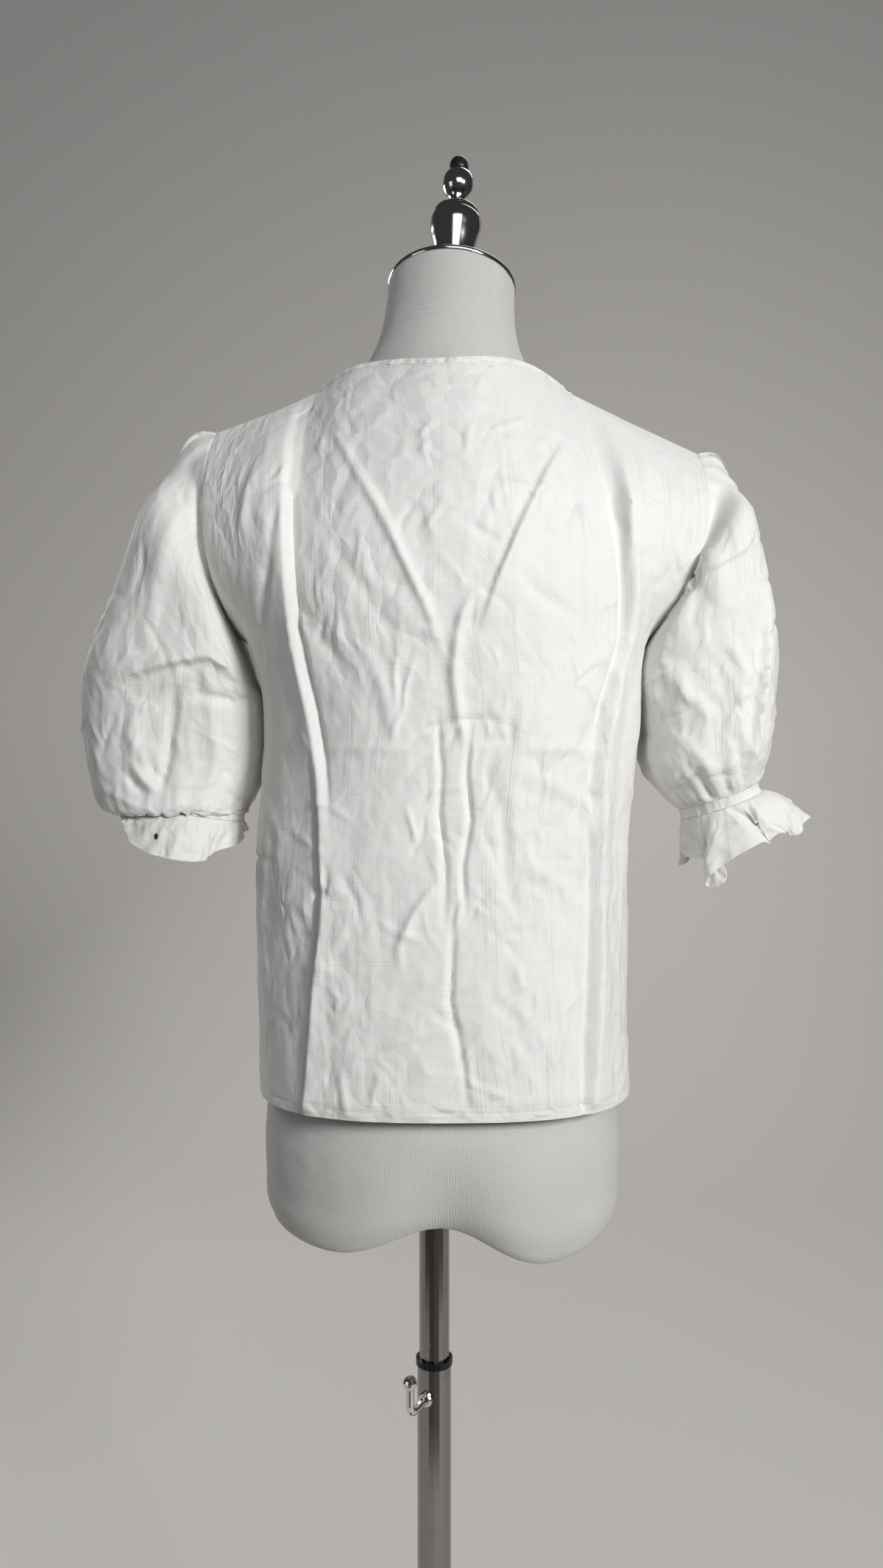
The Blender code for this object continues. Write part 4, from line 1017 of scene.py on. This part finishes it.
def sleeve_ring(row, angle, outward):
    """One oval section of a sleeve, evenly spaced: angle 0 is its outer side, a quarter turn its back."""
    x, y, z, half, depth, tilt, power = row
    deep, wide = superellipse(np.linspace(0, 2 * math.pi, OVAL_POINTS), depth, half, power)
    gone = running(np.hypot(np.diff(deep), np.diff(wide)))
    at = angle / (2 * math.pi) * gone[-1]
    deep, wide = np.interp(at, gone, deep), np.interp(at, gone, wide)
    lean = math.radians(tilt)
    return np.stack([x + outward * wide * math.cos(lean), y - deep, z + wide * math.sin(lean)], axis=1)


def sleeve_form(side_name, loop, ways):
    """The smooth sleeve: a cubic down each column through the armhole's edge, a lip and the table's rings."""
    outward = OUTWARD[side_name]
    count = len(loop)
    angle = full_turn(count)
    leave = unit(np.cross(along_ring(loop), ways))
    leave *= np.sign(leave[:, 0].sum() * outward)
    on_top = np.clip(np.cos(angle), 0, 1)[:, None] ** 2
    lip = loop + leave * (0.006 + 0.006 * on_top) + ways * (0.0015 + 0.0045 * on_top)
    sections = [sleeve_ring(row, angle, outward) for row in SLEEVES[side_name]]
    rings = np.array([loop + leave * 0.0004, lip] + sections)
    knots = running(np.linalg.norm(np.diff(rings, axis=0), axis=2).mean(axis=1))
    at = np.linspace(0, knots[-1], SLEEVE_ROWS + 1)
    return curve_through(knots, rings, at), at, angle


def gather(angle, count, seed, drift):
    """Uneven ridges round a ring, `count` of them; `drift` lets them wander as they run down."""
    place = angle / (2 * math.pi) * count
    wave = hills(place + 0.35 * drift, 0.22 * drift + 4.5, seed)
    wave_end = hills(place - count + 0.35 * drift, 0.22 * drift + 4.5, seed)
    near_end = np.clip((angle / (2 * math.pi) - 0.9) / 0.1, 0, 1)
    wave = wave * (1 - near_end) + wave_end * near_end
    return 0.45 - np.sqrt(wave ** 2 + 0.004) * 1.5


def ring_crumple(angle, at, half, seed):
    """Crumple round a closed sleeve: two patches of it, blended across the join so that no line shows."""
    here = crumple(angle * half + 1.0, at + 0.5, seed)
    there = crumple(angle * half + 1.0 - 2 * math.pi * half, at + 0.5, seed)
    blend = np.clip((angle / (2 * math.pi) - 0.85) / 0.15, 0, 1)
    return here * (1 - blend) + there * blend


def add_sleeve(side_name, column, seed):
    """One sleeve with its gathers, crumples and placed creases."""
    loop, ways = armhole_edge(column)
    form, at, angle = sleeve_form(side_name, loop, ways)
    length = at[-1]
    down = at[:, None] / length
    middle = form.mean(axis=1, keepdims=True)
    way = ring_ways(form, form - middle)
    ring = angle[None, :]
    head = np.exp(-at[:, None] / 0.015) * (0.35 + 0.65 * np.clip(np.cos(ring), 0, 1))
    foot = np.clip((down - 0.55) / 0.45, 0, 1) ** 1.5
    lift = 0.0
    for number, (shown, (count, height, drift)) in enumerate(zip((head, foot, foot ** 2), GATHERS)):
        lift = lift + height * shown * gather(ring, count, seed + number, down * drift)
    crush = 0.3 + np.clip(down * 1.6 - 0.15, 0, 1)
    lift = lift + ring_crumple(ring, at[:, None], SLEEVE_HALF, seed + 3) * crush
    x, y, z = np.moveaxis(form, -1, 0)
    ahead = y - middle[:, :, 1]
    lift = add_creases(lift, x, z + np.where(ahead > 0, -0.012, 0.0), SLEEVE_CREASES[side_name])
    low, high = (x.min(), z.min()), (x.max(), z.max())
    edge = np.clip(np.abs(ahead) / 0.02, 0, 1)
    for half in (-1, 1):
        rows = scatter_creases(seed + 500 + half, SLEEVE_SMALL_CREASES, low, high)
        lift = lift + add_creases(0.0, x, z, rows) * np.where(ahead * half > 0, 1.0, 0.0) * edge
    ends = np.clip(at / 0.008, 0, 1) * np.clip((length - at) / 0.006, 0, 1)
    under = np.clip((at / length - 0.05) / 0.25, 0.25, 1.0)[:, None]
    inner_side = np.clip(-np.cos(ring), 0, 1)
    outside = np.clip((np.abs(x) - 0.1) / 0.05, 0, 1)
    lift = lift * ends[:, None] * (1 - inner_side * (1 - under) * 0.6) * outside
    outer = form + way * lift[:, :, None]
    way = ring_ways(outer, form - middle)
    way[0] = ways
    flat_u = np.linspace(0, 1, len(angle) + 1)[None, :] * SLEEVE_WIDTH
    piece = add_cloth("sleeve_" + side_name + "_cloth", outer, way, CLOTH, True, flat_u, at[:, None], cotton)
    print(piece.name, "faces", len(piece.data.polygons), "length", round(float(length), 4))
    return piece


sleeve_left = add_sleeve("left", 0, 101)
sleeve_right = add_sleeve("right", -1, 131)

# %% [markdown]
# ## Elastic and ruffle
#
# The sleeve's foot is drawn in by elastic thread, and below it the same cloth opens again as a small
# ruffle. The ruffle's waves grow toward its free edge, because only its upper edge is held.

# %% Elastics and ruffles
ELASTIC_DEPTH = 0.008
ELASTIC_START = 0.3
ELASTIC_ROWS = 9
ELASTIC_GATHERS = 52
RUFFLE_START = 0.31
RUFFLE_DEPTH = 0.04
# Columns: angle in degrees, flare, fall
RUFFLES = {
    "left": [
        (0, 0.025, 0.008), (35, 0.022, 0.02), (70, 0.014, 0.035), (105, 0.009, 0.034),
        (145, 0.004, 0.02), (180, 0.004, 0.006), (225, 0.001, 0.016), (270, 0.003, 0.026),
        (320, 0.012, 0.018), (360, 0.025, 0.008),
    ],
    "right": [
        (0, 0.021, 0.027), (40, 0.017, 0.036), (75, 0.012, 0.036), (105, 0.009, 0.04),
        (135, 0.006, 0.056), (160, 0.003, 0.034), (210, 0.006, 0.034), (265, 0.012, 0.038),
        (318, 0.016, 0.034), (360, 0.021, 0.027),
    ],
}
RUFFLE_WAVE = {"left": 0.0048, "right": 0.0125}
RUFFLE_SWAY = {"left": 0.005, "right": 0.012}
RUFFLE_CRUSH = {"left": 1.3, "right": 2.8}
RUFFLE_JAG = {"left": 0.1, "right": 0.24}
RUFFLE_ROWS = 30
RUFFLE_WAVES = (9, 23)
RUFFLE_WIDTH = 0.4
CUFF_POINTS = 264


def cuff_ring(side_name):
    """The ring at the sleeve's foot, its way down, its ways out and its angles."""
    outward = OUTWARD[side_name]
    angle = full_turn(CUFF_POINTS)
    row = SLEEVES[side_name][-1]
    lean = math.radians(row[5])
    wide_way = np.array([outward * math.cos(lean), 0.0, math.sin(lean)])
    deep_way = np.array([0.0, -1.0, 0.0])
    fall = np.cross(wide_way, deep_way)
    fall *= -np.sign(fall[2])
    out = np.cos(angle)[:, None] * wide_way + np.sin(angle)[:, None] * deep_way
    return sleeve_ring(row, angle, outward) - out * 0.0006, fall, out, angle


def add_elastic(side_name, seed):
    """The drawn-in band: narrow, with a fine pucker on every few millimetres."""
    ring, fall, out, angle = cuff_ring(side_name)
    down = np.linspace(0, 1, ELASTIC_ROWS)[:, None]
    pucker = 0.0011 * (gather(angle[None, :], ELASTIC_GATHERS, seed, 0.4) + 0.2)
    pucker = pucker - 0.0007 * np.sin(down * math.pi)
    outer = ring + fall * (0.0002 + ELASTIC_DEPTH * down)[:, :, None] + out * pucker[:, :, None]
    way = np.broadcast_to(out, outer.shape).copy()
    around = np.linspace(0, 1, CUFF_POINTS + 1)[None, :] * SLEEVE_WIDTH
    return add_cloth("elastic_" + side_name + "_cloth", outer, way, CLOTH, True, around,
                     ELASTIC_START + down * ELASTIC_DEPTH, cotton)


def add_ruffle(side_name, seed):
    """The ruffle: at each angle a table says how far its free edge stands out and hangs down.

    Between the elastic and that edge the cloth swings out along a curve, with waves that grow as it goes."""
    ring, fall, out, angle = cuff_ring(side_name)
    edge = read_table(RUFFLES[side_name], np.degrees(angle))
    down = np.linspace(0, 1, RUFFLE_ROWS)[:, None]
    turn = angle[None, :]
    large, small = RUFFLE_WAVES
    wave = gather(turn, large, seed, 1.2 * down) + 0.55 * gather(turn, small, seed + 3, 2.0 * down)
    reach = edge[:, 1] * down ** 0.6 + RUFFLE_WAVE[side_name] * wave * down ** 0.7
    crushed = ring_crumple(turn, down * 0.1, 0.13, seed + 6)
    reach = reach + RUFFLE_CRUSH[side_name] * crushed * down ** 0.5
    jag = 1 + RUFFLE_JAG[side_name] * hills(turn * 3.0, down + 2.5, seed + 9)
    drop = edge[:, 2] * down ** 1.2 * jag
    sway = np.sin(5 * turn + 1.7 * down + seed) + 0.7 * np.sin(8 * turn - 1.1 * down + 2 * seed)
    sway = RUFFLE_SWAY[side_name] * sway * down ** 1.2
    start = ring + fall * (0.0004 + ELASTIC_DEPTH)
    outer = start + fall * drop[:, :, None] + out * reach[:, :, None] + np.cross(fall, out) * sway[:, :, None]
    way = ring_ways(outer, np.broadcast_to(out, outer.shape))
    way[0] = out
    around = np.linspace(0, 1, CUFF_POINTS + 1)[None, :] * RUFFLE_WIDTH
    finish = marked_cotton if side_name == "left" else cotton
    return add_cloth("ruffle_" + side_name + "_cloth", outer, way, CLOTH, True, around,
                     RUFFLE_START + down * RUFFLE_DEPTH, finish)


elastics = {name: add_elastic(name, 161 + n) for n, name in enumerate(SLEEVES)}
ruffles = {name: add_ruffle(name, 171 + n) for n, name in enumerate(SLEEVES)}
print("cuffs", sorted(elastics), "ruffle faces", [len(r.data.polygons) for r in ruffles.values()])

# %% [markdown]
# ## The dress form
#
# The form is padded and covered with grey knitted jersey. Only its neck and its lower end show. Its rings
# come from the same rows as the CAD's, with more of them, so that no flat facets show in its outline.

# %% Jersey
JERSEY_TINT = (0.6, 0.59, 0.575)


def jersey_finish():
    """Light grey knit: fine upright ribs with a little heather in the colour."""
    made, shader = plain_material("grey_jersey", JERSEY_TINT, 0.85)
    add = adder(made)
    flat = add("ShaderNodeUVMap", {"uv_map": "flat"}).outputs["UV"]
    heather = noise(add, flat, (900, 500, 1), 2.0)
    cloud = ramp(add, noise(add, flat, (12, 9, 1), 2.0), 0.3, 0.7, 0.97, 1.02)
    tinted(add, shader, JERSEY_TINT, product(add, ramp(add, heather, 0.3, 0.7, 0.93, 1.05), cloud))
    settle(shader, Sheen_Weight=0.25, Sheen_Roughness=0.5, Specular_IOR_Level=0.25)
    ribs, loops = bands(add, flat, "X", 300.0, 0.0), bands(add, flat, "Y", 330.0, 1.5)
    bump_chain(add, shader, [(ribs, 0.00012), (loops, 0.00008), (heather, 0.0001)])
    return made


jersey = jersey_finish()
print("jersey nodes", len(jersey.node_tree.nodes))


# %% Sizes of the form
# Columns: z, centre_x, half_width, back, front, power
FORM = [
    (0.73, 0.0065, 0.1375, 0.097, 0.0775, 2.5), (0.744, 0.0065, 0.142, 0.1045, 0.0845, 2.5),
    (0.764, 0.0065, 0.143, 0.109, 0.089, 2.4), (0.795, 0.0065, 0.144, 0.112, 0.092, 2.4),
    (0.84, 0.006, 0.14, 0.109, 0.091, 2.3), (0.9, 0.0055, 0.129, 0.096, 0.086, 2.2),
    (0.97, 0.005, 0.114, 0.08, 0.08, 2.2), (1.03, 0.0055, 0.111, 0.076, 0.082, 2.2),
    (1.1, 0.009, 0.123, 0.085, 0.097, 2.2), (1.17, 0.008, 0.135, 0.096, 0.108, 2.2),
    (1.24, 0.0065, 0.14, 0.1, 0.1, 2.2), (1.3, 0.006, 0.143, 0.095, 0.083, 2.1),
    (1.34, 0.006, 0.154, 0.082, 0.068, 1.8), (1.3629, 0.006, 0.156, 0.07, 0.055, 1.4),
    (1.3789, 0.0065, 0.144, 0.062, 0.047, 1.2), (1.3899, 0.007, 0.122, 0.058, 0.037, 1.3),
    (1.4009, 0.008, 0.097, 0.056, 0.035, 1.4), (1.4129, 0.009, 0.076, 0.056, 0.04, 1.7),
    (1.428, 0.0105, 0.064, 0.054, 0.047, 2.0), (1.45, 0.012, 0.056, 0.052, 0.051, 2.0),
    (1.475, 0.0135, 0.0525, 0.051, 0.051, 2.0),
]
LOBES = [(-0.074, 0.7225), (0.086, 0.714)]
LOBE_INNER = 0.053
LOBE_OUTER = 0.078
NOTCH_Z = 0.746
VALLEY_DEPTH = 0.011
SOCKET_RADIUS = 0.013
FORM_POINTS = 160
FORM_ROWS = 150
FORM_GIRTH = 0.8
JERSEY_THICK = 0.0025
CAP_CENTRE = np.array([0.0146, 0.0, 1.489])
CAP_RADIUS = 0.053
CAP_THICK = 0.004
CAP_TILT, CAP_LEAN = math.radians(14.0), math.radians(3.0)
print("form rings", len(FORM), "from", FORM[0][0], "to", FORM[-1][0])


# %% The form's surface
def cap_axes():
    """Sideways, backward and upward directions of the neck's cap."""
    up = unit(np.array([math.sin(CAP_LEAN), math.sin(CAP_TILT), math.cos(CAP_TILT) * math.cos(CAP_LEAN)]))
    side = unit(np.array([1.0, 0.0, 0.0]) - up * up[0])
    return side, -np.cross(up, side), up


def underside(x):
    """Height of the form's underside: two rounded lobes with a shallow notch between them."""
    total = NOTCH_Z
    for middle, low in LOBES:
        width = np.where((x - middle) * middle > 0, LOBE_OUTER, LOBE_INNER)
        total = total - (NOTCH_Z - low) * bell(x - middle, width)
    return total


def form_surface():
    """Rings from the pole's socket over the underside, up the sides and to the neck's slanted top."""
    angle = full_turn(FORM_POINTS)
    heights = np.linspace(FORM[0][0], FORM[-1][0], FORM_ROWS)
    centre, half, back, front, power = np.moveaxis(read_table(FORM, heights[:, None]), -1, 0)[1:]
    across, along = superellipse(angle[None, :], half, 1.0, power)
    depth = np.where(along < 0, back, front)
    sides = np.stack(np.broadcast_arrays(centre + across, along * depth, heights[:, None]), axis=-1)
    low = np.clip((0.815 - heights) / 0.07, 0, 1)[:, None]
    valley = bell(sides[:, :, 0] - 0.01, 0.032) * low
    sides[:, :, 1] += VALLEY_DEPTH * valley * (along < 0)
    follow = np.interp(heights, (0.73, 0.744, 0.764, 0.795), (1.0, 0.6, 0.25, 0.0))[:, None]
    sides[:, :, 2] += (underside(sides[:, :, 0]) + 0.005 - FORM[0][0]) * follow
    side, back_way, up = cap_axes()
    foot = CAP_CENTRE - up * (CAP_THICK / 2 + 0.0003)
    top = foot + (np.sin(angle)[:, None] * side + np.cos(angle)[:, None] * -back_way) * (CAP_RADIUS - 0.001)
    tilt = np.interp(heights, (1.43, 1.475), (0.15, 0.6)) * (heights > 1.43)
    sides[:, :, 2] += (top[:, 2] - foot[2])[None, :] * tilt[:, None]
    share = np.linspace(0, 1, 22)[:, None, None]
    hole = np.stack([np.sin(angle), np.cos(angle), np.zeros_like(angle)], axis=1) * SOCKET_RADIUS
    rim = sides[0]
    floor = hole + (rim - hole) * share
    floor[:, :, 2] = underside(floor[:, :, 0])
    edge = share[:, :, 0] ** 6
    floor[:, :, 2] = floor[:, :, 2] * (1 - edge) + rim[None, :, 2] * edge
    socket = np.repeat(floor[:1], 3, axis=0)
    socket[:, :, 2] += np.array([0.012, 0.006, 0.001])[:, None]
    lid = foot + (top - foot) * np.array([0.97, 0.6, 0.25])[:, None, None]
    return np.concatenate([socket, floor[:-1], sides, top[None], lid])


form_points = form_surface()
form_x, form_z = form_points[:, :, 0], form_points[:, :, 2]
form_way = ring_ways(form_points, form_points - np.array([0.0065, 0.0, 1.0]))
on_side = np.clip((form_z - 0.752) / 0.01, 0, 1) * np.clip((0.835 - form_z) / 0.02, 0, 1)
slack = hills(form_x / 0.018, form_z / 0.007 + form_x * 30, 211)
left_lobe = bell(form_x + 0.09, 0.05)
form_points = form_points + form_way * (0.0012 * slack * on_side * left_lobe)[:, :, None]
form_around = np.linspace(0, 1, FORM_POINTS + 1)[None, :] * FORM_GIRTH
form_down = running(np.linalg.norm(np.diff(form_points, axis=0), axis=2).mean(axis=1))
dress_form = add_cloth("form_jersey", form_points, form_way, JERSEY_THICK, True, form_around,
                       form_down[:, None], jersey)
print("form faces", len(dress_form.data.polygons))

# %% [markdown]
# ## Bright metal and a tip painted dark
#
# The cap, the finial and the pole are chrome. Chrome shows mostly what is around it, so the finish itself
# mostly adds faint smudges and wipe marks; the pole's copy of it is much darker, a painted dark reflection.
# The turned pieces are made again with more points, because a bright surface shows every flat facet.


# %% Hard finishes
def metal_finish(name, colour, low, high, scale, brushed=0.0):
    """A metal whose roughness wanders between two values in smudges; `brushed` adds fine turning marks."""
    made, shader = plain_material(name, colour, low, 1.0)
    add = adder(made)
    place = own_place(add)
    smudge = add("ShaderNodeTexNoise", Vector=place, Scale=scale, Detail=4.0, Roughness=0.6).outputs["Fac"]
    settle(shader, Roughness=ramp(add, smudge, 0.35, 0.7, low, high))
    tinted(add, shader, colour, ramp(add, smudge, 0.3, 0.75, 1.0, 0.93))
    bump_chain(add, shader, [(noise(add, place, (8, 8, 900), 2.0), 0.00001 + brushed)])
    return made


chrome = metal_finish("polished_chrome", (0.74, 0.73, 0.72), 0.06, 0.16, 55.0)
# Painted dark reflection: the pole's chrome is made much darker than the cap's, for the dark room that it
# reflects.
pole_chrome_painted_dark = metal_finish("pole_chrome_painted_dark", (0.3, 0.285, 0.275), 0.1, 0.2, 40.0)
plate_chrome = metal_finish("plate_chrome", (0.7, 0.69, 0.68), 0.14, 0.28, 22.0, 0.00002)
ring_metal = metal_finish("dark_ring", (0.045, 0.045, 0.05), 0.28, 0.42, 120.0)
# Painted dark reflection: the small chrome tip is given a near-black finish for the dark room that it shows.
black_plastic, black_shader = plain_material("black_tip", (0.012, 0.012, 0.013), 0.3)
add = adder(black_plastic)
grain = add("ShaderNodeTexNoise", Vector=own_place(add), Scale=260.0, Detail=3.0).outputs["Fac"]
settle(black_shader, Roughness=ramp(add, grain, 0.3, 0.7, 0.24, 0.42))
bump_chain(add, black_shader, [(grain, 0.00004)])
print("hard finishes", [m.name for m in (chrome, plate_chrome, ring_metal, black_plastic)])


# %% Turned pieces
# Columns: height, radius
FINIAL = [
    (0.0, 0.012), (0.013, 0.0125), (0.032, 0.0155), (0.048, 0.0195), (0.058, 0.0217), (0.065, 0.0212),
    (0.069, 0.019), (0.0712, 0.0194), (0.073, 0.0182), (0.0745, 0.0105), (0.076, 0.0074), (0.089, 0.007),
    (0.0915, 0.009), (0.0965, 0.0122), (0.1026, 0.0131), (0.1085, 0.0121), (0.1125, 0.0092), (0.114, 0.0062),
]
TIP = [(0.0, 0.0062), (0.0015, 0.0076), (0.0055, 0.0081), (0.01, 0.0074), (0.013, 0.0052), (0.014, 0.0028)]


def add_turned(name, profile, foot, finish, rings=90, sides=72):
    """A closed solid turned about the cap's axis.

    A cubic runs through the (height, radius) rows, by the distance that is gone from row to row."""
    side, back_way, up = cap_axes()
    rows = np.array(profile)
    gone = running(np.hypot(*np.diff(rows, axis=0).T))
    smooth = read_table(np.column_stack([gone, rows]), np.linspace(0, gone[-1], rings))[:, 1:]
    smooth = np.concatenate([[[smooth[0, 0], 0.0005]], smooth, [[smooth[-1, 0], 0.0005]]])
    angle = full_turn(sides)
    circle = np.cos(angle)[:, None] * side + np.sin(angle)[:, None] * back_way
    points = foot + smooth[:, 0, None, None] * up + smooth[:, 1, None, None] * circle[None]
    index = np.arange(len(smooth))[:, None] * sides + np.arange(sides + 1)[None, :] % sides
    faces, points = quads(index), points.reshape(-1, 3)
    middle = faces[len(faces) // 2]
    away = points[middle[0]] - foot
    if looks_back(points, middle, away - up * np.dot(away, up)):
        faces = faces[:, ::-1]
    return fill_mesh(name, points, faces, np.zeros((faces.size, 2)), finish)


cap_up = cap_axes()[2]
half = CAP_THICK / 2
CAP = [(-half, 0.05), (-half, CAP_RADIUS - 0.0005), (-half * 0.6, CAP_RADIUS), (half * 0.6, CAP_RADIUS),
       (half, CAP_RADIUS - 0.0008), (half, 0.05)]
cap_piece = add_turned("cap_disc", CAP, CAP_CENTRE, chrome, 60, 128)
finial_foot = CAP_CENTRE + cap_up * (half + 0.0003)
finial_piece = add_turned("finial_turning", FINIAL, finial_foot, chrome, 120)
tip_foot = finial_foot + cap_up * (FINIAL[-1][0] + 0.0003)
# The bead takes the near-black finish, a painted dark reflection.
tip_piece = add_turned("finial_bead", TIP, tip_foot, black_plastic, 40)
# The mast and the post take the darkened chrome, a painted dark reflection.
for node, finish in (("mast", pole_chrome_painted_dark), ("post", pole_chrome_painted_dark), ("hook", chrome), ("hook_boss", chrome),
                     ("post_ring", ring_metal), ("base_plate", plate_chrome)):
    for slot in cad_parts[node].material_slots:
        slot.material = finish
print("turned pieces", [piece.name for piece in (cap_piece, finial_piece, tip_piece)])

# %% [markdown]
# ## Pieces, bodies and cloth facts
#
# Everything that the form carries turns with the body "figure". A table lists each new piece with the CAD
# nodes that it stands for, which are hidden, and the name of its finish. The area of one side of each sheet
# is printed.

# %% Measure the cloth
for piece in (back_panel, front_panel, binding, sleeve_left, sleeve_right, *ruffles.values(),
              *elastics.values()):
    print(piece.name, "area", round(cloth_area(piece), 5))

PIECES = [
    (back_panel, ("back_panel", "hem_back"), "cotton"), (front_panel, ("front_panel", "hem_front"), "cotton"),
    (binding, ("neck_binding",), "cotton"),
    (sleeve_left, ("sleeve_left",), "cotton"), (sleeve_right, ("sleeve_right",), "cotton"),
    (elastics["left"], ("elastic_left",), "cotton"), (elastics["right"], ("elastic_right",), "cotton"),
    (ruffles["left"], ("ruffle_left",), "cotton"), (ruffles["right"], ("ruffle_right",), "cotton"),
    (dress_form, ("form",), "jersey"),
    (cap_piece, ("neck_cap",), "chrome"), (finial_piece, ("finial",), "chrome"),
    (tip_piece, ("finial_tip",), "black_plastic"),
]
for piece in (*hem_stitches.values(), *neck_stitches.values()):
    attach(piece, "figure")
for piece, nodes, finish in PIECES:
    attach(piece, "figure")
    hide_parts(*nodes)
print("pieces declared", len(PIECES) + len(hem_stitches) + len(neck_stitches))
